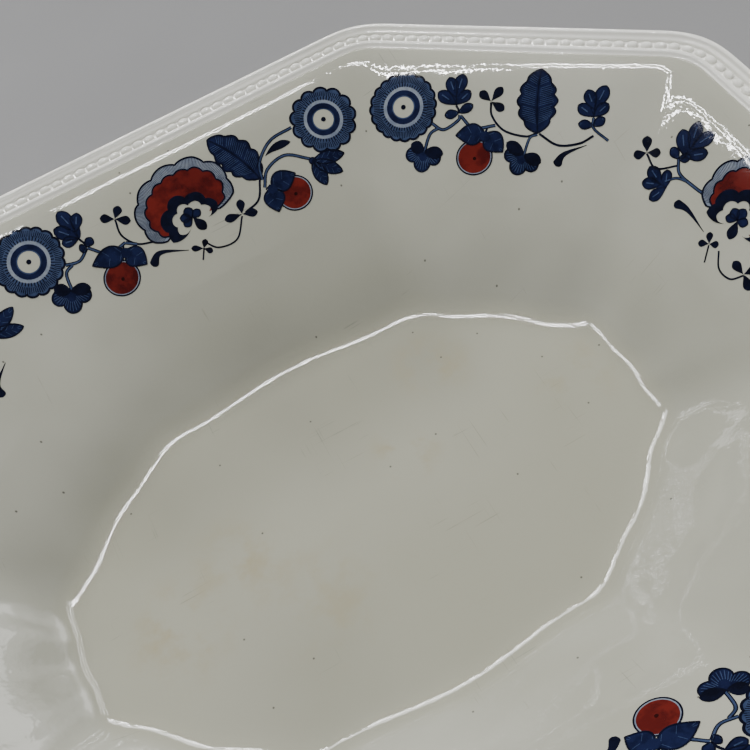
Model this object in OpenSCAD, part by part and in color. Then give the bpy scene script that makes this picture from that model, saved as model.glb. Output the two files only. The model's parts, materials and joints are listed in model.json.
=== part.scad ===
// Eight-sided porcelain serving bowl with a beaded rim and a printed border.
// Long axis along X, resting face at Z = 0, origin at the middle of that face.

/* [Rim outline] */
// Overall length, across the two end sides
rim_len = 250; // [230:1:280]
// Overall width, across the two long sides
rim_wid = 212; // [195:1:235]
// Length of a long side between its sharp corners
rim_side = 116; // [100:1:124]
// Length of an end side between its sharp corners
rim_end = 96; // [84:1:104]
// Rounding of the rim's corners, seen from above
rim_corner_r = 18; // [14:1:24]

/* [Well outline] */
// Length of the flat well, to the foot of the wall
well_len = 146; // [130:1:160]
// Width of the flat well, to the foot of the wall
well_wid = 94; // [84:1:108]
// Length of the well's long sides
well_side = 71; // [60:1:80]
// Length of the well's end sides
well_end = 34; // [26:1:44]
// How far the well's long and end sides bow outwards
well_bow = 2; // [0:0.5:3]

/* [Heights] */
// Overall height, from the resting face to the crest of the lip
height = 50; // [46:1:60]
// Thickness of the floor and, about, of the wall
body_t = 4.5; // [3.5:0.5:6]
// Height of the foot ring
foot_h = 5; // [3:0.5:6]
// Width of the foot ring
foot_w = 5; // [4:0.5:7]

/* [Beaded rim] */
// Distance from one bead to the next
bead_pitch = 3.25; // [3:0.05:4]
// Length of one bead
bead_len = 2.7; // [2:0.1:2.8]
// Half width of one bead, which is also how far it stands up
bead_r = 1; // [0.7:0.05:1.05]

/* [Printed border] */
// Thickness at which the print and the enamel are drawn
print_t = 0.12; // [0.08:0.01:0.3]
// Width of a drawn stem
stem_w = 0.7; // [0.4:0.05:1]

/* [Hidden] */

porcelain = [0.86, 0.85, 0.81];
print_blue = [0.07, 0.10, 0.32];
iron_red = [0.55, 0.10, 0.06];

arc_steps = 4;         // straight pieces in one rounded corner
side_steps = 4;        // straight pieces along one side
band_w = 7.2;          // width of the moulded rim band
band_t = 4.6;          // depth of the rim band where the wall starts
wall_top = height - 1.8;
floor_top = foot_h + body_t;
wall_corner_r = 10;    // rounding of the wall's folds

// The corner sides run at this outward normal, and stand this far from the middle
corner_run = [rim_wid - rim_end, rim_len - rim_side] / 2;
corner_n = corner_run / norm(corner_run);
corner_reach = corner_n * [rim_side, rim_wid] / 2;

// An outline is [half length, half width, half long side, half end side]
well_outline = [well_len, well_wid, well_side, well_end] / 2;

// The rim's outline moved inwards by x, all sides alike
function inset_outline(x) =
    let (a = rim_len / 2 - x, b = rim_wid / 2 - x, reach = corner_reach - x)
    [a, b, (reach - corner_n[1] * b) / corner_n[0], (reach - corner_n[0] * a) / corner_n[1]];

// The outline a share h of the way from the top of the wall to the well
function wall_outline(h) = inset_outline(band_w) * (1 - h) + well_outline * h;

// Sharp corners of an outline, anticlockwise from above
function corners(d) = [
    [d[2], d[1]], [-d[2], d[1]], [-d[0], d[3]], [-d[0], -d[3]],
    [-d[2], -d[1]], [d[2], -d[1]], [d[0], -d[3]], [d[0], d[3]]
];
function unit(v) = v / norm(v);

// Points of one corner q, rounded to radius r, between its neighbours p and s
function rounded_corner(p, q, s, r, steps) =
    let (
        e1 = unit(p - q),
        e2 = unit(s - q),
        half = acos(e1 * e2) / 2,
        centre = q + unit(e1 + e2) * r / sin(half),
        first = q + e1 * r / tan(half) - centre,
        start = atan2(first[1], first[0])
    )
    [for (j = [0:steps]) let (a = start + (180 - 2 * half) * j / steps) centre + r * [cos(a), sin(a)]];

// A closed outline with rounded corners, whose long and end sides bow out
function outline(d, r, bow = 0, steps = arc_steps) =
    let (v = corners(d), arcs = [for (i = [0:7]) rounded_corner(v[(i + 7) % 8], v[i], v[(i + 1) % 8], r, steps)])
    [for (i = [0:7]) each concat(arcs[i], bowed_side(arcs[i][steps], arcs[(i + 1) % 8][0], i % 2 == 0 ? bow : 0))];

function bowed_side(p, q, bow) =
    let (e = unit(q - p), out = [e[1], -e[0]])
    [for (k = [1:side_steps - 1]) let (t = k / side_steps) p + (q - p) * t + out * bow * 4 * t * (1 - t)];

function at_height(pts, z) = [for (p = pts) [p[0], p[1], z]];

// A row of triangles between ring k and ring m, each of n points
function band_faces(k, m, n) =
    [for (i = [0:n - 1]) let (j = (i + 1) % n) each [[k * n + i, k * n + j, m * n + j], [k * n + i, m * n + j, m * n + i]]];

// A closed solid through rings that run from its upper middle, out, and back to its lower middle
module capped_loft(rings) {
    n = len(rings[0]);
    last = len(rings) - 1;
    hub = n * len(rings);
    hubs = [[0, 0, rings[0][0][2]], [0, 0, rings[last][0][2]]];
    top = [for (i = [0:n - 1]) [hub, (i + 1) % n, i]];
    bottom = [for (i = [0:n - 1]) [hub + 1, last * n + i, last * n + (i + 1) % n]];
    walls = [for (k = [0:last - 1]) each band_faces(k, k + 1, n)];
    polyhedron(points = concat([for (g = rings) each g], hubs), faces = concat(top, walls, bottom), convexity = 6);
}

// A closed ring-shaped solid through rings that run round its cross-section
module ring_loft(rings) {
    n = len(rings[0]);
    walls = [for (k = [0:len(rings) - 1]) each band_faces(k, (k + 1) % len(rings), n)];
    polyhedron(points = [for (g = rings) each g], faces = walls, convexity = 6);
}

// ---- Ceramic body ----

// Wall profile: share of the way in, and height above the floor as a share of the wall's height
wall_rise = wall_top - floor_top;
inner_profile = [[1.062, 0], [1.03, 0.006], [1, 0.02], [0.955, 0.058], [0.64, 0.46], [0.06, 0.974], [0, 1]];

// The lower part of the wall takes up the bow of the well
function bow_at(h) = well_bow * min(1, max(0, (h - 0.64) / 0.36));
function wall_ring(h, z) = at_height(outline(wall_outline(h), wall_corner_r, bow_at(h)), z);

module bowl_body() {
    inner = [for (p = inner_profile) wall_ring(p[0], floor_top + wall_rise * p[1])];
    outer = [
        wall_ring(0, wall_top - band_t),
        wall_ring(0.06, wall_top - band_t - 1.6),
        wall_ring(0.64, floor_top + wall_rise * 0.46 - 1.28 * body_t),
        wall_ring(0.94, foot_h)
    ];
    color(porcelain) capped_loft(concat(inner, outer));
}

module foot_ring() {
    wall_run = inset_outline(band_w)[1] - well_outline[1];
    middle = 0.975 + foot_w / 2 / wall_run;
    heel = 0.6;
    color(porcelain) {
        foot_course(middle, foot_w, heel, foot_h, wall_run);
        foot_course(middle, foot_w - 2 * heel, 0, heel, wall_run);
    }
}

// One course of the foot, w wide, from height z0 to z1
module foot_course(middle, w, z0, z1, wall_run) {
    half = w / 2 / wall_run;
    translate([0, 0, z0]) linear_extrude(z1 - z0) difference() {
        polygon(outline(wall_outline(middle - half), wall_corner_r, well_bow));
        polygon(outline(wall_outline(middle + half), wall_corner_r, well_bow));
    }
}

// ---- Rim ----

// Cross-section of the rim band, clockwise: distance in from the edge, height from the crest
channel_z = -2;
band_section = [
    [7.2, -1.8], [6.3, -1], [5.3, -1], [5.1, channel_z], [2.9, channel_z], [2.8, -1.3], [1.7, -0.9],
    [1.2, 0], [0.4, 0], [0, -0.6], [0, -4.6], [1, -5.8], [7.2, -6.4]
];

module rim_band() {
    rings = [for (p = band_section)
        at_height(outline(inset_outline(p[0]), p[0] < band_w ? rim_corner_r - p[0] : wall_corner_r), height + p[1])];
    color(porcelain) ring_loft(rings);
}

// Half an olive, lying on its flat side with its length along Y
module bead() {
    half = bead_len / 2;
    rotate([90, 0, 0]) rotate_extrude(angle = 180, $fn = 16)
        polygon([[0, -half], [0.72 * bead_r, -0.72 * half], [bead_r, 0], [0.72 * bead_r, 0.72 * half], [0, half]]);
}

// The beads of side i, from the middle of one rounded corner to the middle of the next
module bead_row(i) {
    steps = 8;
    line = outline(inset_outline(4), rim_corner_r - 4, 0, steps);
    per_side = len(line) / 8;
    path = [for (k = [0:per_side]) line[(i * per_side + steps / 2 + k) % len(line)]];
    runs = [for (k = [0:per_side - 1]) norm(path[k + 1] - path[k])];
    along = [for (k = 0, s = 0; k <= per_side; s = s + (k < per_side ? runs[k] : 0), k = k + 1) s];
    count = round(along[per_side] / bead_pitch);
    color(porcelain) for (b = [0:count - 1]) {
        s = (b + 0.5) * along[per_side] / count;
        k = max([for (j = [0:per_side - 1]) if (along[j] <= s) j]);
        step = path[k + 1] - path[k];
        at = path[k] + step * (s - along[k]) / runs[k];
        translate([at[0], at[1], height + channel_z]) rotate(atan2(step[1], step[0]) - 90) bead();
    }
}

module beads_long_back() bead_row(0);
module beads_corner_back_left() bead_row(1);
module beads_end_left() bead_row(2);
module beads_corner_front_left() bead_row(3);
module beads_long_front() bead_row(4);
module beads_corner_front_right() bead_row(5);
module beads_end_right() bead_row(6);
module beads_corner_back_right() bead_row(7);

// ---- Printed border: shapes, drawn flat with +Y towards the rim ----

// An oval leaf from the origin along +X
module petal(length, width) {
    polygon([for (i = [0:11]) let (a = 30 * i) [length / 2 * (1 - cos(a)), width / 2 * sin(a) * (1.1 - 0.25 * cos(a))]]);
}

// Leaves round a small knot
module petals(length, width, angles) {
    circle(0.2 * width, $fn = 8);
    for (a = angles) rotate(a) petal(length, width);
}

// A curved stem from a to c, pulled towards b
module stem(a, b, c, w = stem_w) {
    steps = 6;
    mid = [for (i = [0:steps]) let (t = i / steps) a * (1 - t) * (1 - t) + b * 2 * t * (1 - t) + c * t * t];
    way = [for (i = [0:steps]) let (t = i / steps) unit((b - a) * (1 - t) + (c - b) * t)];
    left = [for (i = [0:steps]) mid[i] + [-way[i][1], way[i][0]] * w / 2];
    right = [for (i = [steps:-1:0]) mid[i] - [-way[i][1], way[i][0]] * w / 2];
    polygon(concat(left, right));
}

module circle_ring(r_out, r_in) {
    difference() {
        circle(r_out, $fn = 32);
        circle(r_in, $fn = 32);
    }
}

// A round flower: scalloped border, ring and dot
module rosette(r) {
    lobes = 18;
    difference() {
        polygon([for (i = [0:2 * lobes - 1]) r * (i % 2 == 0 ? 1 : 0.94) * [cos(180 / lobes * i), sin(180 / lobes * i)]]);
        circle(0.6 * r, $fn = 32);
    }
    circle_ring(0.48 * r, 0.32 * r);
    circle(0.07 * r, $fn = 16);
}

module lobed_leaf(length) {
    petals(length, 0.36 * length, [0, 32, -32]);
    petals(0.72 * length, 0.34 * length, [66, -66]);
}

module leaf_pair() petals(3.6, 1.9, [20, 170]);

module trident() petals(3.8, 1.8, [90, 185, -15]);

// A hanging flower under two dark leaves
module trefoil() {
    petals(4.6, 2.8, [8, 172]);
    translate([0, -1.6]) petals(4.2, 3.6, [-50, -90, -130]);
}

// A pointed leaf with a wavy edge, from the origin along +X
module wavy_leaf(length, width) {
    steps = 9;
    edge = [for (i = [1:steps - 1]) let (t = i / steps) [length * t, width / 2 * (sin(180 * pow(t, 0.8)) + (i % 2) * 0.16)]];
    back = [for (i = [len(edge) - 1:-1:0]) [edge[i][0], -edge[i][1]]];
    circle(0.07 * width, $fn = 8);
    polygon(concat([[0, 0]], edge, [[length, 0]], back));
}

module tulip_leaf() petals(7, 3, [0, 38, -38]);

// Outline and cap of a berry that hangs from its top
module berry_print(r) {
    circle_ring(r, r - 0.6);
    translate([0, 0.95 * r]) petals(1.35 * r, 0.75 * r, [-28, 208]);
}

module berry_enamel(r) circle(r - 0.75, $fn = 32);

// Points of a scalloped arc of radius r, from one angle to another
function scalloped(r, from, to, lobes, depth) =
    let (steps = lobes * 4)
    [for (i = [0:steps]) let (a = from + (to - from) * i / steps) r * (1 - depth * (1 - abs(sin(45 * i)))) * [cos(a), sin(a)]];
function reversed(v) = [for (i = [len(v) - 1:-1:0]) v[i]];

// A fan-shaped flower: border, dark arch and a small four-petalled flower
module fan_print(r) {
    polygon(concat(scalloped(r, -18, 200, 7, 0.1), reversed(scalloped(0.8 * r, -18, 200, 7, 0.12))));
    polygon(concat(scalloped(0.5 * r, -30, 210, 4, 0.12), reversed(scalloped(0.32 * r, -30, 210, 4, 0.2))));
    petals(0.21 * r, 0.16 * r, [45, 135, 225]);
    petals(0.34 * r, 0.22 * r, [-60]);
}

module fan_enamel(r) {
    polygon(concat(scalloped(0.78 * r, -12, 194, 7, 0.12), reversed(scalloped(0.52 * r, -12, 194, 4, 0.12))));
}

module teardrop(tail) {
    petal(4.2, 2.6);
    stem([3.6, 0], [5.4, 1.6], tail, 0.5);
}

// ---- Printed border: sprigs, placed from the middle of a panel's upper edge ----

rosette_r = 8.6;
berry_r = 4.6;
fan_r = 12.6;
fan_tilt = 24;         // the long sprig's fan leans this much to the left

module long_sprig() {
    translate([-43.6, -12.4]) rosette(rosette_r);
    translate([38, -13.4]) rosette(rosette_r - 0.3);
    translate([-29.8, -15]) rotate(98) lobed_leaf(10);
    translate([-29.6, -15.4]) leaf_pair();
    translate([-20.2, -12.4]) rotate(-24) trident();
    translate([-37.2, -22.6]) rotate(-26) trefoil();
    translate([-25.4, -25.4]) rotate(-26) berry_print(berry_r);
    translate([-2.6, -18.8]) rotate(fan_tilt) fan_print(fan_r);
    translate([-17, -27]) teardrop([9, 0.4]);
    translate([-4.2, -28.6]) rotate(-24) petals(2.8, 1.4, [90, 185, -15]);
    translate([8.2, -26]) rotate(-24) trident();
    translate([16.4, -19.8]) rotate(116) wavy_leaf(16.4, 9.6);
    translate([20, -15.4]) rotate(2) petal(8, 2.6);
    translate([31, -21]) rotate(-40) tulip_leaf();
    translate([22.6, -26.2]) rotate(40) berry_print(berry_r);
    stem([-36, -17.4], [-31.6, -19], [-29.4, -15.6]);
    stem([-29.4, -16], [-26, -20.4], [-20.4, -18.8]);
    stem([-20.2, -12.8], [-21.4, -18.8], [-14.4, -21.6]);
    stem([-34.8, -18.4], [-37, -19.4], [-37.2, -22.6]);
    stem([-3, -28], [1.6, -33.4], [8, -26.4]);
    stem([8.2, -26.4], [14.6, -27], [16.4, -19.8]);
    stem([16, -21.6], [18, -11.6], [30, -11.6]);
    stem([16, -22.4], [22, -15.8], [31, -21]);
}

module long_enamel() {
    translate([-25.4, -25.4]) berry_enamel(berry_r);
    translate([-2.6, -18.8]) rotate(fan_tilt) fan_enamel(fan_r);
    translate([22.6, -26.2]) berry_enamel(berry_r);
}

module end_sprig() {
    translate([-26.2, -16.6]) rotate(100) lobed_leaf(9);
    translate([-26.4, -17]) leaf_pair();
    translate([-34, -21.6]) rotate(36) trident();
    translate([-25.4, -24.4]) rotate(-20) trefoil();
    translate([-4.4, -17.6]) fan_print(fan_r);
    translate([-19.6, -25.6]) teardrop([10.6, 0.6]);
    translate([-5.4, -26.6]) petals(2.8, 1.4, [90, 185, -15]);
    translate([6, -26]) trident();
    translate([13.6, -18.4]) rotate(72) wavy_leaf(13.6, 8.4);
    translate([20.4, -26]) rotate(30) berry_print(berry_r - 0.2);
    translate([26.6, -17.2]) rotate(-8) tulip_leaf();
    stem([-33.6, -21.6], [-29, -23], [-25.4, -18.6]);
    stem([-26, -17], [-23.8, -21], [-16, -20]);
    stem([-25.4, -23.6], [-22, -21.8], [-20, -20.4]);
    stem([-3.8, -26.8], [1.4, -30.6], [6, -26.2]);
    stem([6.2, -26.2], [12, -26], [13.6, -18.4]);
    stem([13.4, -20.6], [18, -14.4], [26.6, -17.2]);
}

module end_enamel() {
    translate([-4.4, -17.6]) fan_enamel(fan_r);
    translate([20.4, -26]) berry_enamel(berry_r - 0.2);
}

module corner_sprig() {
    translate([-27, -15.5]) rosette(rosette_r);
    translate([-13.4, -15]) rotate(84) lobed_leaf(9);
    translate([-12.6, -16]) leaf_pair();
    translate([-4.6, -13]) trident();
    translate([-19.8, -24.8]) rotate(-6) trefoil();
    translate([-7.4, -26.8]) berry_print(berry_r);
    translate([7.4, -20]) rotate(94) wavy_leaf(15.6, 9.6);
    translate([5.2, -24]) rotate(-20) trefoil();
    translate([12.8, -28.2]) rotate(60) teardrop([6.8, -3.4]);
    translate([20.8, -16]) rotate(86) lobed_leaf(8);
    translate([20.6, -17.4]) leaf_pair();
    stem([-19, -19.6], [-15, -21.8], [-12.6, -16.6]);
    stem([-12.4, -16.6], [-8, -20.6], [-2, -18.8]);
    stem([-4.6, -13.2], [-4, -22.4], [7.2, -20.6]);
    stem([-17.4, -20.4], [-19.8, -21], [-19.8, -24]);
    stem([7.4, -20], [14, -24.6], [21.4, -19.6]);
    stem([20.8, -16], [21, -19.6], [25, -20.8]);
    stem([6.8, -20.6], [5.4, -21], [5.4, -23.6]);
}

module corner_enamel() translate([-7.4, -26.8]) berry_enamel(berry_r);

module tulip_sprig() {
    translate([-21.6, -16.4]) rotate(96) lobed_leaf(8.6);
    translate([-21.4, -17.4]) leaf_pair();
    translate([-13, -13.4]) trident();
    translate([-6.4, -19.6]) rotate(84) wavy_leaf(15, 9.2);
    translate([-15.8, -24.6]) rotate(8) trefoil();
    translate([-1.4, -26.4]) rotate(10) berry_print(berry_r);
    translate([8.6, -20]) trident();
    translate([11, -28]) rotate(30) teardrop([8, -0.6]);
    translate([22.6, -18]) rotate(-6) tulip_leaf();
    stem([-25, -21.4], [-22, -20.6], [-21.4, -17]);
    stem([-21.2, -17.4], [-14, -23], [-6.6, -19.8]);
    stem([-13, -13.8], [-13.4, -19.6], [-9.8, -20.6]);
    stem([-15.8, -23.6], [-15.6, -21.6], [-14, -20.8]);
    stem([-6.2, -19.8], [1.8, -25], [8.6, -20.4]);
    stem([8.6, -20.4], [14, -14.8], [22.6, -18]);
}

module tulip_enamel() translate([-1.4, -26.4]) berry_enamel(berry_r);

// ---- Printed border: panels ----

// The print lies on the flat upper part of a wall panel, between these two shares of the way in
print_from = inner_profile[5];
print_to = inner_profile[4];

// Puts a flat drawing on the panel whose outward direction is turned by angle from +Y,
// and whose wall moves in by run, starting at distance reach from the middle
module on_panel(angle, reach, run) {
    y0 = reach - run * print_from[0];
    z0 = floor_top + wall_rise * print_from[1];
    slope = atan(wall_rise * (print_from[1] - print_to[1]) / (run * (print_to[0] - print_from[0])));
    up = 3.45;
    rotate(angle) translate([0, y0, z0]) rotate([slope, 0, 0]) translate([0, up, 0]) linear_extrude(print_t) children();
}

top_outline = inset_outline(band_w);
corner_angle = atan2(corner_n[0], corner_n[1]);
corner_top_reach = corner_reach - band_w;
corner_well_reach = corner_n * [well_side, well_wid] / 2;
corner_middle = [top_outline[0] + top_outline[2], top_outline[1] + top_outline[3]] / 2;
corner_shift = corner_n[1] * corner_middle[0] - corner_n[0] * corner_middle[1];

module on_long(angle) {
    on_panel(angle, top_outline[1], top_outline[1] - well_outline[1]) children();
}

module on_end(angle) {
    on_panel(angle, top_outline[0], top_outline[0] - well_outline[0]) children();
}

// A corner panel's middle lies off the line straight out from the bowl's middle, to the side given
module on_corner(angle, side) {
    on_panel(angle, corner_top_reach, corner_top_reach - corner_well_reach) translate([side * corner_shift, 0]) children();
}

module print_long_back() color(print_blue) on_long(0) long_sprig();
module print_long_front() color(print_blue) on_long(180) long_sprig();
module print_end_right() color(print_blue) on_end(-90) end_sprig();
module print_end_left() color(print_blue) on_end(90) end_sprig();
module print_corner_back_right() color(print_blue) on_corner(-corner_angle, 1) corner_sprig();
module print_corner_front_left() color(print_blue) on_corner(180 - corner_angle, 1) corner_sprig();
module print_corner_back_left() color(print_blue) on_corner(corner_angle, -1) tulip_sprig();
module print_corner_front_right() color(print_blue) on_corner(180 + corner_angle, -1) tulip_sprig();

module enamel_long_back() color(iron_red) on_long(0) long_enamel();
module enamel_long_front() color(iron_red) on_long(180) long_enamel();
module enamel_end_right() color(iron_red) on_end(-90) end_enamel();
module enamel_end_left() color(iron_red) on_end(90) end_enamel();
module enamel_corner_back_right() color(iron_red) on_corner(-corner_angle, 1) corner_enamel();
module enamel_corner_front_left() color(iron_red) on_corner(180 - corner_angle, 1) corner_enamel();
module enamel_corner_back_left() color(iron_red) on_corner(corner_angle, -1) tulip_enamel();
module enamel_corner_front_right() color(iron_red) on_corner(180 + corner_angle, -1) tulip_enamel();

bowl_body();
foot_ring();
rim_band();
beads_long_back();
beads_long_front();
beads_end_right();
beads_end_left();
beads_corner_back_right();
beads_corner_front_left();
beads_corner_back_left();
beads_corner_front_right();
print_long_back();
print_long_front();
print_end_right();
print_end_left();
print_corner_back_right();
print_corner_front_left();
print_corner_back_left();
print_corner_front_right();
enamel_long_back();
enamel_long_front();
enamel_end_right();
enamel_end_left();
enamel_corner_back_right();
enamel_corner_front_left();
enamel_corner_back_left();
enamel_corner_front_right();
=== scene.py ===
"""Looks of an eight-sided porcelain serving bowl with a beaded rim and a blue and red floral border."""

import json
import logging
import math
import random
from dataclasses import dataclass, field
from enum import Enum
from typing import Callable, Protocol, Sequence

import bmesh
import bpy
import numpy as np
from mathutils import Matrix, Vector
from mathutils.bvhtree import BVHTree

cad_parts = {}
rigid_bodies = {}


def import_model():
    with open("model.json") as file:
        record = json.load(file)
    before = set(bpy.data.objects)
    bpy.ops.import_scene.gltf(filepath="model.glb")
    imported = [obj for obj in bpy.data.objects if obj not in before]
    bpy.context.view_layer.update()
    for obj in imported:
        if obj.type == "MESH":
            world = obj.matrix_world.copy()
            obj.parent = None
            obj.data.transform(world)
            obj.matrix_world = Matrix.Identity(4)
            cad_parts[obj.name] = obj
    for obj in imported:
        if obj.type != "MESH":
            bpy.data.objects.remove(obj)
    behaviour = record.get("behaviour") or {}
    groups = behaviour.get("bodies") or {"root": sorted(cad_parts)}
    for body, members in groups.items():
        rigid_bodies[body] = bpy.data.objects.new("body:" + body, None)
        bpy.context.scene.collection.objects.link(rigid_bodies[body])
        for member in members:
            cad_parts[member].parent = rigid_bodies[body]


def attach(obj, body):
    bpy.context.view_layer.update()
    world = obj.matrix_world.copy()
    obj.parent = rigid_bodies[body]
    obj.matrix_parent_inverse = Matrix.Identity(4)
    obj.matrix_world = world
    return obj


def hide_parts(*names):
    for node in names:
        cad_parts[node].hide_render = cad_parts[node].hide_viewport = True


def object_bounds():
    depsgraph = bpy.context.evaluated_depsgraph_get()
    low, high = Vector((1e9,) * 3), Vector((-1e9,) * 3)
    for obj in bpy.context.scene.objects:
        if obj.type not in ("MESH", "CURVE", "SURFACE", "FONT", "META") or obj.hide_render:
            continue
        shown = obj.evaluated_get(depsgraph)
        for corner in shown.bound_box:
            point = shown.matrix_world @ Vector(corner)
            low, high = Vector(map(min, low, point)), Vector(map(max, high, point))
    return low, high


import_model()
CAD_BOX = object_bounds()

MM = 0.001
GLAZE_IOR = 1.6
ARC_STEPS = 16
SIDE_STEPS = 16
Colour = tuple[float, float, float]
Profile = Sequence[tuple[float, float]]
log = logging.getLogger("serving_bowl")


# ---------------------------------------------------------------- shader expressions


class Wire:
    """A shader value that takes part in ordinary Python expressions."""

    def __init__(self, board: "Board", socket: bpy.types.NodeSocket) -> None:
        """Holds the socket and the board that it belongs to."""
        self.board = board
        self.socket = socket

    def joined(self, operation: str, left: object, right: object) -> "Wire":
        """Adds one Math node on two values."""
        return self.board.add("ShaderNodeMath", {"operation": operation}, {0: left, 1: right})

    def __add__(self, other: object) -> "Wire":
        """self + other"""
        return self.joined("ADD", self, other)

    __radd__ = __add__

    def __sub__(self, other: object) -> "Wire":
        """self - other"""
        return self.joined("SUBTRACT", self, other)

    def __rsub__(self, other: object) -> "Wire":
        """other - self"""
        return self.joined("SUBTRACT", other, self)

    def __mul__(self, other: object) -> "Wire":
        """self * other"""
        return self.joined("MULTIPLY", self, other)

    __rmul__ = __mul__

    def __lt__(self, other: object) -> "Wire":
        """1 where self is below other, else 0"""
        return self.joined("LESS_THAN", self, other)

    def __gt__(self, other: object) -> "Wire":
        """1 where self is above other, else 0"""
        return self.joined("GREATER_THAN", self, other)


class Board:
    """The node tree of one finish, written from the shader backwards."""

    def __init__(self, name: str) -> None:
        """Starts an empty material of that name.

        Args:
            name: the material's name.
        """
        self.material = bpy.data.materials.new(name)
        self.material.use_nodes = True
        self.tree = self.material.node_tree
        self.tree.nodes.clear()

    def add(
        self, kind: str, settings: dict | None = None, inputs: dict | None = None, output: int = 0
    ) -> Wire:
        """Adds a node.

        Args:
            kind: the node's type name.
            settings: its own properties, set first.
            inputs: values or wires by socket name or number.
            output: which output to go on with.

        Returns:
            The chosen output.
        """
        node = self.tree.nodes.new(kind)
        for key, value in (settings or {}).items():
            setattr(node, key, value)
        for key, value in (inputs or {}).items():
            if isinstance(value, Wire):
                self.tree.links.new(value.socket, node.inputs[key])
            else:
                node.inputs[key].default_value = value
        return Wire(self, node.outputs[output])

    def place(self) -> Wire:
        """The point on the object, in metres."""
        return self.add("ShaderNodeTexCoord", output=3)

    def noise(
        self, scale: float, detail: float = 2.0, roughness: float = 0.5, at: Wire | None = None
    ) -> Wire:
        """A noise value, about 0.5 on average, with scale features in a metre.

        Args:
            scale: how many features lie in a metre.
            detail: how many finer layers it has.
            roughness: how strong the finer layers are.
            at: where it is read, if not on the object as it is.

        Returns:
            The value.
        """
        spot = at or self.place()
        inputs = {"Vector": spot, "Scale": scale, "Detail": detail, "Roughness": roughness}
        return self.add("ShaderNodeTexNoise", {}, inputs)

    def stretched(self, size: Colour, turn: float) -> Wire:
        """The point on the object after a turn about Z and a stretch along each axis."""
        inputs = {0: self.place(), 2: (0.0, 0.0, turn), 3: size}
        return self.add("ShaderNodeMapping", {}, inputs)

    def step(self, value: Wire, low: float, high: float) -> Wire:
        """Goes smoothly from 0 at low to 1 at high; low may be the larger.

        Args:
            value: what is compared.
            low: where the step is 0.
            high: where the step is 1.

        Returns:
            The step.
        """
        turned = low > high
        settings = {"interpolation_type": "SMOOTHSTEP", "clamp": True}
        out = self.add("ShaderNodeMapRange", settings, {0: value, 1: min(low, high), 2: max(low, high)})
        return 1.0 - out if turned else out

    def mix(self, share: object, first: object, second: object) -> Wire:
        """A colour between two colours or colour wires."""
        ends = [c if isinstance(c, Wire) else (*c, 1.0) for c in (first, second)]
        return self.add("ShaderNodeMix", {"data_type": "RGBA"}, {0: share, 6: ends[0], 7: ends[1]}, 2)

    def away(self, centre: Colour) -> Wire:
        """The distance from a point, in metres."""
        return self.add("ShaderNodeVectorMath", {"operation": "DISTANCE"}, {0: self.place(), 1: centre}, 1)

    def relief(self, height: Wire, depth: float, over: Wire | None = None) -> Wire:
        """A bump of that depth in metres, on top of another one if given.

        Args:
            height: the relief, 0 to 1.
            depth: its depth in metres.
            over: the bump under it.

        Returns:
            The direction that the surface faces.
        """
        inputs = {"Height": height, "Distance": depth, "Strength": 1.0}
        if over:
            inputs["Normal"] = over
        return self.add("ShaderNodeBump", {}, inputs)

    def shade(self, inputs: dict) -> bpy.types.Material:
        """Ends the board in one shader with these inputs.

        Args:
            inputs: the shader's values or wires by socket name.

        Returns:
            The finished material.
        """
        surface = self.add("ShaderNodeBsdfPrincipled", {}, inputs)
        end = self.tree.nodes.new("ShaderNodeOutputMaterial")
        self.tree.links.new(surface.socket, end.inputs["Surface"])
        return self.material


# ---------------------------------------------------------------- finishes


@dataclass(frozen=True)
class Spot:
    """A place on the glaze with a tea stain or with painted shade, in mm."""

    x: float
    y: float
    z: float
    reach: float
    strength: float

    def near(self, board: Board) -> Wire:
        """1 at its middle, falling to 0 at its reach."""
        return board.step(board.away((self.x * MM, self.y * MM, self.z * MM)), self.reach * MM, 0.0)


TEA_SPOTS = (
    Spot(15.0, 9.0, 9.5, 11.0, 0.9),
    Spot(32.0, 27.0, 9.5, 14.0, 0.5),
    Spot(-31.0, 5.0, 9.5, 16.0, 0.5),
    Spot(-50.0, -4.0, 9.5, 18.0, 0.6),
    Spot(-18.0, -14.0, 9.5, 24.0, 0.35),
    Spot(60.0, 6.0, 10.5, 14.0, 0.4),
)
# Painted shade: darker grey patches on the well floor, mostly near the far wall, where less light falls.
PAINTED_SHADE_PATCHES = (
    Spot(-38.0, 29.0, 9.5, 30.0, 0.5),
    Spot(-4.0, 35.0, 9.5, 34.0, 0.6),
    Spot(30.0, 34.0, 9.5, 30.0, 0.55),
    Spot(-30.0, -30.0, 9.5, 34.0, 0.3),
)


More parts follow.
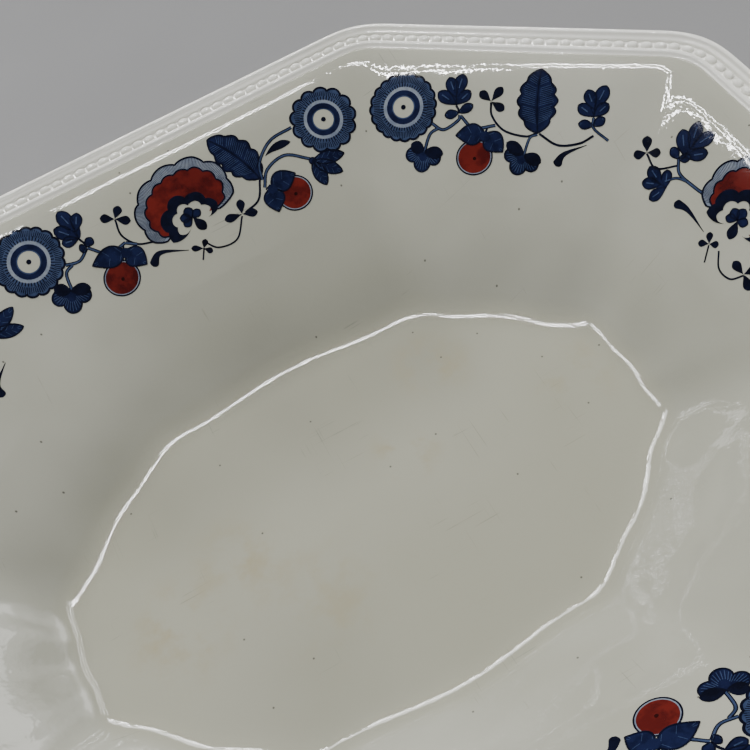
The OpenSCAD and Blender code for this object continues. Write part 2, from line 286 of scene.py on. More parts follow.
@dataclass(frozen=True)
class Glaze:
    """Clear glossy glaze over warm grey-white porcelain."""

    pale: Colour = (0.385, 0.385, 0.328)
    deep: Colour = (0.325, 0.325, 0.268)
    tea: Colour = (0.285, 0.235, 0.13)
    wear_and_shade_tint: Colour = (0.298, 0.295, 0.228)
    painted_shade_tone: Colour = (0.205, 0.203, 0.165)
    speck: Colour = (0.05, 0.045, 0.04)
    gloss: float = 0.03
    ripple: float = 0.00002
    spots: tuple[Spot, ...] = ()
    painted_shade_patches: tuple[Spot, ...] = ()
    worn: bool = False
    wear_and_shade_heights: tuple[float, float] = (0.014, 0.0096)
    speck_scale: float = 85.0
    speck_threshold: float = 0.74

    def tint(self, board: Board) -> Wire:
        """The glaze colour with its clouds, tea stains and specks, a darker yellower well that is partly real
        wear and partly painted shade, and painted shade patches.

        Args:
            board: the board to draw on.

        Returns:
            The colour.
        """
        clouds = board.noise(16.0, 3.0, 0.55)
        colour = board.mix(board.step(clouds, 0.35, 0.7), self.pale, self.deep)
        height = board.add("ShaderNodeSeparateXYZ", {}, {0: board.place()}, 2)
        # Partly real yellowing from use, partly painted shade: the well floor below the wall is tinted darker
        # and yellower.
        colour = board.mix(board.step(height, *self.wear_and_shade_heights) * (0.55 + 0.45 * clouds), colour, self.wear_and_shade_tint)
        mottle = board.step(board.noise(95.0, 4.0, 0.65), 0.42, 0.72)
        # Painted shade: darker grey patches on the well floor.
        for spot in self.painted_shade_patches:
            near = spot.near(board)
            colour = board.mix(near * (0.6 + 0.6 * clouds) * spot.strength, colour, self.painted_shade_tone)
        for spot in self.spots:
            colour = board.mix(spot.near(board) * mottle * spot.strength, colour, self.tea)
        flat, spread = {"voronoi_dimensions": "2D"}, {"Vector": board.place(), "Scale": self.speck_scale}
        cells = board.add("ShaderNodeTexVoronoi", flat, spread)
        kinds = board.add("ShaderNodeTexVoronoi", flat, spread, 1)
        chosen = board.add("ShaderNodeSeparateColor", {}, {0: kinds}) > self.speck_threshold
        return board.mix(board.step(cells, 0.026, 0.014) * chosen * 0.8, colour, self.speck)

    def scratches(self, board: Board) -> Wire:
        """Fine short scratches, 0 to 1, in two directions.

        Args:
            board: the board to draw on.

        Returns:
            The scratches.
        """
        first = board.noise(1.0, 1.0, 0.5, board.stretched((42.0, 2400.0, 60.0), 0.5))
        second = board.noise(1.0, 1.0, 0.5, board.stretched((2600.0, 38.0, 60.0), -0.9))
        patches = board.step(board.noise(60.0, 2.0), 0.6, 0.68)
        return (board.step(first, 0.69, 0.74) + board.step(second, 0.69, 0.74)) * patches

    def material(self, name: str) -> bpy.types.Material:
        """Makes the glaze.

        Args:
            name: the material's name.

        Returns:
            The material.
        """
        board = Board(name)
        colour = self.tint(board)
        smear = board.step(board.noise(28.0, 4.0, 0.6), 0.45, 0.75)
        rough = self.gloss + 0.02 * smear
        coarse = board.relief(board.noise(48.0, 1.0), self.ripple * 8)
        middle = board.relief(board.noise(130.0, 1.0), self.ripple * 3, coarse)
        normal = board.relief(board.noise(700.0, 1.0), self.ripple, middle)
        if self.worn:
            marks = self.scratches(board)
            rough = rough + 0.1 * marks
            colour = board.mix(marks * 0.25, colour, self.speck)
        return board.shade({"Base Color": colour, "Roughness": rough, "Normal": normal, "IOR": GLAZE_IOR})


@dataclass(frozen=True)
class FiredInk:
    """Printed colour under the glaze, thicker and thinner as the transfer left it."""

    thin: Colour
    full: Colour
    grain: float = 420.0
    low: float = 0.4
    high: float = 0.62
    gloss: float = 0.04

    def material(self, name: str) -> bpy.types.Material:
        """Makes the ink.

        Args:
            name: the material's name.

        Returns:
            The material.
        """
        board = Board(name)
        patchy = board.step(board.noise(self.grain, 3.0, 0.6), self.low, self.high)
        wash = board.step(board.noise(self.grain / 5, 2.0), 0.3, 0.7)
        colour = board.mix(patchy * 0.6 + wash * 0.4, self.thin, self.full)
        normal = board.relief(board.noise(330.0, 2.0), 0.00002)
        rough = self.gloss + 0.04 * wash
        return board.shade({"Base Color": colour, "Roughness": rough, "Normal": normal, "IOR": GLAZE_IOR})


@dataclass(frozen=True)
class BareFoot:
    """Glazed foot whose resting edge is wiped bare and a little soiled."""

    glaze: Colour = (0.40, 0.395, 0.335)
    bare: Colour = (0.50, 0.46, 0.40)
    soil: Colour = (0.22, 0.17, 0.11)

    def material(self, name: str) -> bpy.types.Material:
        """Makes the foot's finish.

        Args:
            name: the material's name.

        Returns:
            The material.
        """
        board = Board(name)
        height = board.add("ShaderNodeSeparateXYZ", {}, {0: board.place()}, 2)
        edge = height + 0.0006 * board.noise(160.0, 3.0)
        wiped = board.step(edge, 0.0013, 0.0010)
        line = wiped * board.step(edge, 0.0008, 0.0012)
        grit = board.step(board.noise(900.0, 3.0, 0.7), 0.45, 0.75)
        bare = board.mix(grit * 0.5, self.bare, self.soil)
        colour = board.mix(line * 0.5, board.mix(wiped, self.glaze, bare), self.soil)
        normal = board.relief(board.noise(1400.0, 2.0) * wiped, 0.00006)
        rough = 0.08 + 0.6 * wiped
        return board.shade({"Base Color": colour, "Roughness": rough, "Normal": normal, "IOR": GLAZE_IOR})


@dataclass(frozen=True)
class TableTop:
    """Plain pale matt surface with a faint cloudiness."""

    pale: Colour = (0.182, 0.182, 0.184)
    deep: Colour = (0.158, 0.158, 0.16)

    def material(self, name: str) -> bpy.types.Material:
        """Makes the surface's finish.

        Args:
            name: the material's name.

        Returns:
            The material.
        """
        board = Board(name)
        colour = board.mix(board.step(board.noise(5.0, 3.0), 0.3, 0.7), self.pale, self.deep)
        normal = board.relief(board.noise(700.0, 3.0), 0.00002)
        return board.shade({"Base Color": colour, "Roughness": 0.62, "Normal": normal})


# ---------------------------------------------------------------- shapes


def as_object(name: str, points: np.ndarray, faces: list, smooth: bool = True) -> bpy.types.Object:
    """Makes a mesh object.

    Args:
        name: the object's name.
        points: its corners in mm, one row each.
        faces: the corner numbers of each face.
        smooth: whether it is shaded smooth.

    Returns:
        The object, linked to the scene.
    """
    mesh = bpy.data.meshes.new(name)
    mesh.from_pydata((np.asarray(points, float) * MM).tolist(), [], faces)
    mesh.polygons.foreach_set("use_smooth", [smooth] * len(mesh.polygons))
    mesh.update()
    piece = bpy.data.objects.new(name, mesh)
    bpy.context.scene.collection.objects.link(piece)
    return piece


def seat(piece: bpy.types.Object, node: str, slot: str, *finishes: bpy.types.Material) -> None:
    """Gives a piece its finishes and sets it in the frame in place of a node.

    Args:
        piece: the piece.
        node: the node that it shows.
        slot: not used.
        finishes: its materials, in the order of its faces' numbers.
    """
    for finish in finishes:
        piece.data.materials.append(finish)
    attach(piece, "root")
    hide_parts(node)
    log.info("%s shows %s: %d faces", piece.name, node, len(piece.data.polygons))


def ring_faces(rows: int, across: int, closed: bool = False) -> list:
    """Quads between rows of points that each run once round.

    Args:
        rows: how many rows.
        across: points in one row.
        closed: whether the last row joins the first.

    Returns:
        The faces.
    """
    last = rows if closed else rows - 1
    i, j = np.meshgrid(np.arange(last), np.arange(across), indexing="ij")
    a, b = (i % rows) * across, ((i + 1) % rows) * across
    k = (j + 1) % across
    return np.stack([a + j, a + k, b + k, b + j], -1).reshape(-1, 4).tolist()


def softened(line: Profile, radii: Sequence[float], steps: int = 5, closed: bool = False) -> np.ndarray:
    """A line of points with each corner rounded.

    Args:
        line: the sharp corners.
        radii: how far from each corner its rounding starts.
        steps: pieces in one rounding.
        closed: whether the line runs round.

    Returns:
        The rounded line's points.
    """
    pts = np.asarray(line, float)
    count = len(pts)
    out: list[np.ndarray] = []
    for i, q in enumerate(pts):
        if not closed and i in (0, count - 1):
            out.append(q)
            continue
        p, s = pts[i - 1], pts[(i + 1) % count]
        lp, ls = np.linalg.norm(p - q), np.linalg.norm(s - q)
        reach = min(radii[i], 0.48 * lp, 0.48 * ls)
        a, b = q + (p - q) / lp * reach, q + (s - q) / ls * reach
        for t in np.linspace(0.0, 1.0, steps + 1):
            out.append(a * (1 - t) ** 2 + q * 2 * t * (1 - t) + b * t * t)
    return np.array(out)


@dataclass(frozen=True)
class Outline:
    """An eight-sided outline seen from above, in mm."""

    half_len: float
    half_wid: float
    half_side: float
    half_end: float

    def corners(self) -> np.ndarray:
        """The sharp corners, anticlockwise from above."""
        a, b, c, d = self.half_len, self.half_wid, self.half_side, self.half_end
        return np.array([[c, b], [-c, b], [-a, d], [-a, -d], [-c, -b], [c, -b], [a, -d], [a, d]])

    def toward(self, other: "Outline", share: float) -> "Outline":
        """The outline a share of the way to another one.

        Args:
            other: the other outline.
            share: 0 for this outline, 1 for the other.

        Returns:
            The outline.
        """
        mine = (self.half_len, self.half_wid, self.half_side, self.half_end)
        theirs = (other.half_len, other.half_wid, other.half_side, other.half_end)
        return Outline(*(m + (t - m) * share for m, t in zip(mine, theirs)))

    def ring(self, radius: float, bow: float = 0.0) -> np.ndarray:
        """The outline with soft corners.

        Args:
            radius: about the radius of each corner.
            bow: how far a side swells outwards, as a share of its straight length.

        Returns:
            The points, anticlockwise from above.
        """
        v = self.corners()
        curves = []
        for i in range(8):
            q, e1, e2 = v[i], v[i - 1] - v[i], v[(i + 1) % 8] - v[i]
            e1, e2 = e1 / np.linalg.norm(e1), e2 / np.linalg.norm(e2)
            half = math.acos(float(e1 @ e2)) / 2
            reach = 1.6 * radius / math.tan(half)
            knots = [q + e1 * reach * k for k in (1, 0.6, 0.2)] + [q + e2 * reach * k for k in (0.2, 0.6, 1)]
            t = np.linspace(0, 1, ARC_STEPS + 1)[:, None]
            curves.append(sum(math.comb(5, k) * t**k * (1 - t) ** (5 - k) * knots[k] for k in range(6)))
        out = []
        for i in range(8):
            p, s = curves[i][-1], curves[(i + 1) % 8][0]
            way = (s - p) / np.linalg.norm(s - p)
            normal = np.array([way[1], -way[0]])
            t = np.arange(1, SIDE_STEPS)[:, None] / SIDE_STEPS
            swell = bow * np.linalg.norm(s - p) * np.sin(np.pi * t) ** 2
            out += [curves[i], p + (s - p) * t + normal * swell]
        return np.vstack(out)


@dataclass
class BowlShape:
    """The sizes that every piece of the bowl shares, in mm."""

    length: float
    width: float
    height: float
    long_side: float = 116.0
    end_side: float = 96.0
    band: float = 7.2
    wall_top: float = 48.2
    floor_top: float = 9.5
    rim_round: float = 18.0
    well: Outline = Outline(73.0, 47.0, 35.5, 17.0)
    slopes: tuple = (
        (0.0, 9.0), (0.03, 14.0), (0.08, 24.0), (0.16, 31.0), (0.25, 33.0), (0.5, 35.5), (0.7, 39.0),
        (0.86, 43.0), (0.935, 43.0), (0.97, 41.0), (1.0, 34.0), (1.03, 26.0), (1.06, 17.0), (1.09, 9.0),
        (1.12, 3.0), (1.16, 0.0),
    )
    wall_rows: int = 140
    shares: np.ndarray = field(init=False)
    levels: np.ndarray = field(init=False)

    def __post_init__(self) -> None:
        """Works out the corner sides' direction and the wall's profile."""
        run = np.array([self.width - self.end_side, self.length - self.long_side]) / 2
        self.normal = run / np.linalg.norm(run)
        self.reach = float(self.normal @ np.array([self.long_side, self.width])) / 2
        self.shares = np.linspace(0.0, self.slopes[-1][0], self.wall_rows)
        fall = np.tan(np.radians(np.interp(self.shares, *zip(*self.slopes))))
        drop = np.concatenate([[0], np.cumsum((fall[1:] + fall[:-1]) / 2)])
        self.levels = self.wall_top - drop / drop[-1] * (self.wall_top - self.floor_top)

    def rim(self, inset: float) -> Outline:
        """The rim's outline moved inwards, all sides alike.

        Args:
            inset: how far inwards.

        Returns:
            The outline.
        """
        a, b, r = self.length / 2 - inset, self.width / 2 - inset, self.reach - inset
        nx, ny = self.normal
        return Outline(a, b, (r - ny * b) / nx, (r - nx * a) / ny)

    def rim_radius(self, inset: float) -> float:
        """The radius of the rim's corners that far inwards."""
        return self.rim_round - 0.97 * inset

    def run(self) -> float:
        """How far inwards the wall runs from its top to the well, seen from above."""
        return self.rim(self.band).half_wid - self.well.half_wid

    def wall(self, share: float) -> Outline:
        """The wall's outline a share of the way from its top to the well."""
        return self.rim(self.band).toward(self.well, share)

    def wall_ring(self, share: float, height: float) -> np.ndarray:
        """A ring of the wall.

        Args:
            share: how far from the wall's top to the well.
            height: its height.

        Returns:
            The ring's points.
        """
        bow = 0.045 * min(1.0, max(0.0, (share - 0.6) / 0.4))
        flat = self.wall(share).ring(11.0 + 2.0 * max(0.0, share - 0.2), bow)
        return np.column_stack([flat, np.full(len(flat), height)])

    def rim_ring(self, inset: float, height: float) -> np.ndarray:
        """A ring of the rim band."""
        flat = self.rim(inset).ring(self.rim_radius(inset))
        return np.column_stack([flat, np.full(len(flat), height)])


@dataclass
class Body:
    """The floor and the eight wall panels."""

    shape: BowlShape
    seam: float = 6.9
    seam_heights: tuple = (43.6, 43.9, 47.6)
    outside: Profile = ((10.3, 41.9), (40.4, 21.2), (55.2, 5.6))
    underside: Profile = ((0.935, 5.25), (0.955, 5.0), (1.1, 5.0))
    floor_scales: tuple = (0.93, 0.8, 0.62, 0.42, 0.22, 0.06)

    def floor(self, edge: np.ndarray) -> list[np.ndarray]:
        """Smaller and smaller rings inside the edge of a level face."""
        return [edge * np.array([k, k, 1.0]) for k in self.floor_scales]

    def inner_rings(self) -> list[np.ndarray]:
        """The rings of the inside, from the wall's top down to the well's middle."""
        rings = [self.shape.wall_ring(h, z) for h, z in zip(self.shape.shares, self.shape.levels)]
        return rings + self.floor(rings[-1])

    def outer_rings(self) -> list[np.ndarray]:
        """The rings of the outside, from under the rim band down and in to the foot's middle.

        Returns:
            The rings.
        """
        shape = self.shape
        line = [((inset - shape.band) / shape.run(), z) for inset, z in self.outside]
        curve = softened(line, [0, 0.5, 0], 18)
        rings = [shape.rim_ring(self.seam, self.seam_heights[0]), shape.wall_ring(0.0, self.seam_heights[0])]
        rings += [shape.wall_ring(h, z) for h, z in (*curve, *self.underside)]
        return rings + self.floor(rings[-1])

    def build(self) -> tuple[bpy.types.Object, BVHTree]:
        """Makes the body.

        Returns:
            The body, and a search tree of its inside for laying the border on.
        """
        inner, outer = self.inner_rings(), self.outer_rings()
        collar = [self.shape.rim_ring(self.seam, z) for z in self.seam_heights[1:]]
        rows = outer[::-1] + collar + inner
        across = len(rows[0])
        faces = ring_faces(len(rows), across)
        faces.append(list(range(across))[::-1])
        faces.append(list(range((len(rows) - 1) * across, len(rows) * across)))
        piece = as_object("bowl_body_glazed", np.vstack(rows), faces)
        tree = BVHTree.FromPolygons((np.vstack(inner) * MM).tolist(), ring_faces(len(inner), across))
        log.info("body: %d rings of %d points", len(rows), across)
        return piece, tree

    def dress(self, piece: bpy.types.Object, finish: bpy.types.Material) -> None:
        """Glazes the body and sets it in the frame."""
        seat(piece, "bowl_body", "glaze", finish)


@dataclass
class Foot:
    """The ring that the bowl stands on."""

    shape: BowlShape
    middle: float = 53.0
    section: Profile = ((-2.5, 6.2), (-2.3, 2.5), (-2.0, 0.0), (2.0, 0.0), (2.3, 2.5), (2.6, 6.2))
    rounding: tuple = (0.2, 1.5, 0.7, 0.7, 1.5, 0.2)

    def build(self) -> bpy.types.Object:
        """Makes the foot ring.

        Returns:
            The foot ring.
        """
        run = self.shape.run()
        line = softened(self.section, self.rounding, 6, closed=True)
        rows = [self.shape.wall_ring((self.middle + x) / run, z) for x, z in line]
        return as_object("foot_ring_turned", np.vstack(rows), ring_faces(len(rows), len(rows[0]), True))

    def dress(self, piece: bpy.types.Object, finish: bpy.types.Material) -> None:
        """Finishes the foot and sets it in the frame."""
        seat(piece, "foot_ring", "glaze", finish)


@dataclass
class RimBand:
    """The moulded band: lip, bead channel and inner fillet."""

    shape: BowlShape
    section: Profile = (
        (7.35, -2.0), (6.75, -1.75), (6.25, -1.0), (5.35, -0.95), (5.1, -1.95), (2.55, -1.95), (2.35, -1.2),
        (1.6, -0.85), (1.2, 0.0), (0.3, 0.0), (0.0, -0.7), (0.0, -4.4), (0.9, -5.8), (7.35, -6.4),
    )
    rounding: tuple = (0.05, 0.4, 0.38, 0.4, 0.3, 0.25, 0.3, 0.5, 0.4, 0.22, 0.3, 0.9, 1.0, 0.05)

    def build(self) -> bpy.types.Object:
        """Makes the band.

        Returns:
            The band.
        """
        line = softened(self.section, self.rounding, 5, closed=True)
        rows = [self.shape.rim_ring(x, self.shape.height + z) for x, z in line]
        faces = ring_faces(len(rows), len(rows[0]), True)
        return as_object("rim_band_moulded", np.vstack(rows), [f[::-1] for f in faces])

    def dress(self, piece: bpy.types.Object, finish: bpy.types.Material) -> None:
        """Glazes the band and sets it in the frame."""
        seat(piece, "rim_band", "glaze", finish)


@dataclass
class BeadRows:
    """The oval beads in the rim's channel, one row to a side."""

    shape: BowlShape
    pitch: float = 3.25
    half_length: float = 1.5
    half_width: float = 1.12
    rise: float = 1.12
    inset: float = 3.7
    sunk: float = 1.98
    rings: int = 9
    across: int = 12
    names: tuple = (
        "long_back", "corner_back_left", "end_left", "corner_front_left",
        "long_front", "corner_front_right", "end_right", "corner_back_right",
    )

    def bead(self, rng: random.Random) -> np.ndarray:
        """The points of one bead, slightly unlike its neighbours.

        Args:
            rng: where its differences come from.

        Returns:
            Rows of points from one tip to the other.
        """
        size = np.array([self.half_length, self.half_width, self.rise])
        size = size * np.array([rng.uniform(0.93, 1.02), rng.uniform(0.94, 1.04), rng.uniform(0.9, 1.02)])
        tips = np.linspace(0, np.pi, self.rings)
        rounds = np.linspace(0, 2 * np.pi, self.across, endpoint=False)
        t, a = np.meshgrid(tips, rounds, indexing="ij")
        swell = np.sin(t) ** 0.8
        pts = np.stack([-np.cos(t), swell * np.cos(a), swell * np.sin(a)], -1)
        return (pts * size).reshape(-1, 3)

    def row(self, index: int, rng: random.Random) -> bpy.types.Object:
        """Makes the beads of one side.

        Args:
            index: which side, counted anticlockwise from the back.
            rng: where the beads' differences come from.

        Returns:
            The row.
        """
        line = self.shape.rim(self.inset).ring(self.shape.rim_radius(self.inset))
        per = ARC_STEPS + SIDE_STEPS
        first = index * per + ARC_STEPS // 2
        path = line[(first + np.arange(per + 1)) % len(line)]
        along = np.concatenate([[0], np.cumsum(np.linalg.norm(np.diff(path, axis=0), axis=1))])
        count = round(along[-1] / self.pitch)
        points, faces = [], []
        cell = ring_faces(self.rings, self.across)
        for k in range(count):
            s = (k + 0.5) * along[-1] / count
            at = np.array([np.interp(s, along, path[:, c]) for c in (0, 1)])
            ahead = np.array([np.interp(s + 0.4, along, path[:, c]) for c in (0, 1)]) - at
            way = ahead / np.linalg.norm(ahead)
            turn = np.array([[way[0], way[1], 0], [-way[1], way[0], 0], [0, 0, 1]])
            base = len(points) * self.rings * self.across
            points.append(self.bead(rng) @ turn + np.array([*at, self.shape.height - self.sunk]))
            faces += [[v + base for v in f] for f in cell]
        piece = as_object(f"bead_row_{self.names[index]}", np.vstack(points), faces)
        bm = bmesh.new()
        bm.from_mesh(piece.data)
        bmesh.ops.remove_doubles(bm, verts=bm.verts, dist=1e-6)
        bmesh.ops.recalc_face_normals(bm, faces=bm.faces)
        bm.to_mesh(piece.data)
        bm.free()
        return piece

    def dress(self, piece: bpy.types.Object, index: int, finish: bpy.types.Material) -> None:
        """Glazes one row and sets it in the frame."""
        seat(piece, f"beads_{self.names[index]}", "glaze", finish)


# ---------------------------------------------------------------- drawing the border
# Points of a drawing are complex numbers in mm: the real part runs along a panel, the imaginary
# part up its slope towards the rim.


class Ink(Enum):
    """The colours that the border is drawn in."""

    LINE = "line"
    NAVY = "navy"
    WASH = "wash"
    PALE = "pale"
    RED = "red"
    MARK = "mark"


BLUES = (Ink.LINE, Ink.NAVY, Ink.WASH, Ink.PALE)
REDS = (Ink.RED, Ink.MARK)


@dataclass
class Patch:
    """A grid of points in one ink, at one level above the glaze."""

    grid: np.ndarray
    ink: Ink
    level: int


def at(u: float, s: float) -> complex:
    """The point u along a panel and s below its upper edge."""
    return complex(u, -s)


def smooth(knots: Sequence[complex], count: int = 14) -> np.ndarray:
    """A smooth curve through points.

    Args:
        knots: the points it passes.
        count: pieces between two neighbours.

    Returns:
        The curve's points.
    """
    k = np.array(knots)
    if len(k) == 2:
        return np.linspace(k[0], k[1], count + 1)
    k = np.concatenate([[2 * k[0] - k[1]], k, [2 * k[-1] - k[-2]]])
    out = []
    for p, q, r, s in zip(k, k[1:], k[2:], k[3:]):
        t = np.linspace(0, 1, count, endpoint=False)
        square, cube = 2 * p - 5 * q + 4 * r - s, 3 * q - p - 3 * r + s
        out.append(0.5 * (2 * q + (r - p) * t + square * t**2 + cube * t**3))
    return np.concatenate([*out, [k[-2]]])


class Motif(Protocol):
    """Anything that draws itself."""

    def draw(self, drawing: "Drawing") -> None:
        """Adds its patches to a drawing."""


@dataclass
class Drawing:
    """What is drawn on one panel."""

    patches: list[Patch] = field(default_factory=list)

    def patch(self, grid: np.ndarray, ink: Ink, level: int) -> None:
        """Adds a grid of points."""
        self.patches.append(Patch(np.asarray(grid, complex), ink, level))

    def carry(self, *motifs: "Motif") -> None:
        """Draws each motif."""
        for motif in motifs:
            motif.draw(self)

    def line(self, path: np.ndarray, width: object, ink: Ink = Ink.LINE, level: int = 2) -> None:
        """Draws a line along a path; width may vary along it.

        Args:
            path: the points.
            width: one width, or one for each point.
            ink: the ink.
            level: its level above the glaze.
        """
        way = np.gradient(path)
        side = 1j * way / np.maximum(np.abs(way), 1e-9) * np.broadcast_to(width, path.shape) / 2
        self.patch(np.stack([path - side, path + side], 1), ink, level)

    def loop(self, path: np.ndarray, width: float, ink: Ink = Ink.LINE, level: int = 2) -> None:
        """Draws a closed line; the path ends where it starts.

        Args:
            path: the points.
            width: its width.
            ink: the ink.
            level: its level above the glaze.
        """
        way = np.gradient(path)
        way[0] = way[-1] = path[1] - path[-2]
        side = 1j * way / np.maximum(np.abs(way), 1e-9) * width / 2
        self.patch(np.stack([path - side, path + side], 1), ink, level)

    def between(self, inner: np.ndarray, outer: np.ndarray, ink: Ink, level: int, rows: int = 4) -> None:
        """Fills the space between two paths of as many points."""
        t = np.linspace(0, 1, rows + 1)
        self.patch(inner[:, None] * (1 - t) + outer[:, None] * t, ink, level)

    def blade(self, base: complex, tip: complex, width: float, ink: Ink, **options: object) -> None:
        """Draws a leaf or petal from its base to its tip.

        Args:
            base: where it starts.
            tip: where it ends.
            width: its greatest width.
            ink: its fill.
            options: bend, swell, blunt, scallops, edge, veins, vein_ink and level, as Blade has them.
        """
        Blade(base, tip, width, ink, **options).draw(self)

    def stem(self, knots: Sequence[complex], width: float = 0.85) -> None:
        """Draws a stem with dark edges and a paler core, or a plain dark tendril if it is thin.

        Args:
            knots: the points it passes.
            width: its width.
        """
        path = smooth(knots)
        self.line(path, width, Ink.LINE, 1)
        if width > 0.6:
            self.line(path, width * 0.46, Ink.WASH, 2)


@dataclass(frozen=True)
class Blade:
    """A leaf or petal along a bent middle line."""

    base: complex
    tip: complex
    width: float
    ink: Ink
    bend: float = 0.0
    swell: float = 1.0
    blunt: float = 1.0
    scallops: int = 0
    edge: float = 0.0
    veins: int = 0
    vein_ink: Ink = Ink.WASH
    level: int = 0

    def middle(self, t: np.ndarray) -> np.ndarray:
        """Points of the middle line."""
        way = self.tip - self.base
        return self.base + way * t + 1j * way * self.bend * 4 * t * (1 - t)

    def half(self, t: np.ndarray) -> np.ndarray:
        """Half widths along the middle line.

        Args:
            t: places along the middle line, 0 to 1.

        Returns:
            The half widths.
        """
        out = self.width / 2 * np.sin(np.pi * t**self.swell) ** self.blunt
        if self.scallops:
            out = out * (0.86 + 0.2 * np.abs(np.sin(np.pi * self.scallops * t)))
        return out

    def draw(self, drawing: Drawing) -> None:
        """Draws the fill, the edge line and the veins.

        Args:
            drawing: the drawing to add it to.
        """
        t = np.linspace(0.001, 0.999, 34 if self.scallops else 18)
        mid, half = self.middle(t), self.half(t)
        side = 1j * np.gradient(mid) / np.abs(np.gradient(mid))
        across = np.linspace(-1, 1, 5)
        drawing.patch(mid[:, None] + side[:, None] * half[:, None] * across, self.ink, self.level)
        if self.edge:
            rim = np.concatenate([mid + side * half, (mid - side * half)[::-1], [(mid + side * half)[0]]])
            drawing.loop(rim, self.edge, Ink.LINE, self.level + 2)
        for k in range(self.veins):
            s = 0.16 + 0.7 * k / max(1, self.veins - 1)
            for hand in (-1, 1):
                i = int(s * (len(t) - 1))
                j = min(len(t) - 1, i + 2)
                start = mid[i] + side[i] * hand * half[i] * 0.12
                end = mid[j] + side[j] * hand * half[j] * 0.82
                drawing.line(smooth([start, end], 3), 0.1, self.vein_ink, self.level + 1)


@dataclass(frozen=True)
class Rosette:
    """A round flower: scalloped hatched border, pale ring, dark ring and dot."""

    centre: complex
    radius: float = 8.7
    lobes: int = 18
    depth: float = 0.07
    hatch: int = 96
    ticks: int = 48

    def edge(self, a: np.ndarray) -> np.ndarray:
        """The scalloped edge at angles a.

        Args:
            a: the angles, in radians.

        Returns:
            The edge's points.
        """
        wave = np.abs(np.sin(self.lobes * a / 2)) ** 0.8
        uneven = 1 + 0.012 * np.sin(3 * a + self.centre.real)
        return self.centre + self.radius * (1 - self.depth + self.depth * wave) * uneven * np.exp(1j * a)

    def ring(self, inner: float, outer: float) -> tuple[np.ndarray, np.ndarray]:
        """Two circles, given as shares of the radius."""
        way = self.radius * np.exp(1j * np.linspace(0, 2 * np.pi, 73))
        return self.centre + inner * way, self.centre + outer * way

    def rays(
        self, drawing: Drawing, count: int, low: float, high: float, width: float, level: int
    ) -> None:
        """Draws short lines that point to the middle.

        Args:
            drawing: the drawing to add them to.
            count: how many.
            low: where they start, as a share of the radius.
            high: the furthest that they end, as a share of the radius.
            width: their width.
            level: their level above the glaze.
        """
        for k in range(count):
            a = 2 * np.pi * (k + 0.3) / count
            top = high - 0.05 * abs(math.sin(2.7 * k))
            ends = self.centre + self.radius * np.array([low, (low + top) / 2, top]) * np.exp(1j * a)
            drawing.line(ends, width, Ink.LINE, level)

    def draw(self, drawing: Drawing) -> None:
        """Draws the flower.

        Args:
            drawing: the drawing to add it to.
        """
        a = np.linspace(0, 2 * np.pi, self.lobes * 12 + 1)
        drawing.between(self.centre + 0.6 * self.radius * np.exp(1j * a), self.edge(a), Ink.WASH, 0, 5)
        drawing.loop(self.edge(a), 0.55)
        self.rays(drawing, self.hatch, 0.72, 0.97 - self.depth / 2, 0.19, 1)
        self.rays(drawing, self.ticks, 0.6, 0.74, 0.26, 2)
        drawing.between(*self.ring(0.49, 0.61), Ink.PALE, 0, 2)
        drawing.between(*self.ring(0.345, 0.5), Ink.NAVY, 1, 2)
        drawing.between(*self.ring(0.31, 0.36), Ink.WASH, 0, 1)
        drawing.between(*self.ring(0.002, 0.072), Ink.LINE, 1, 1)


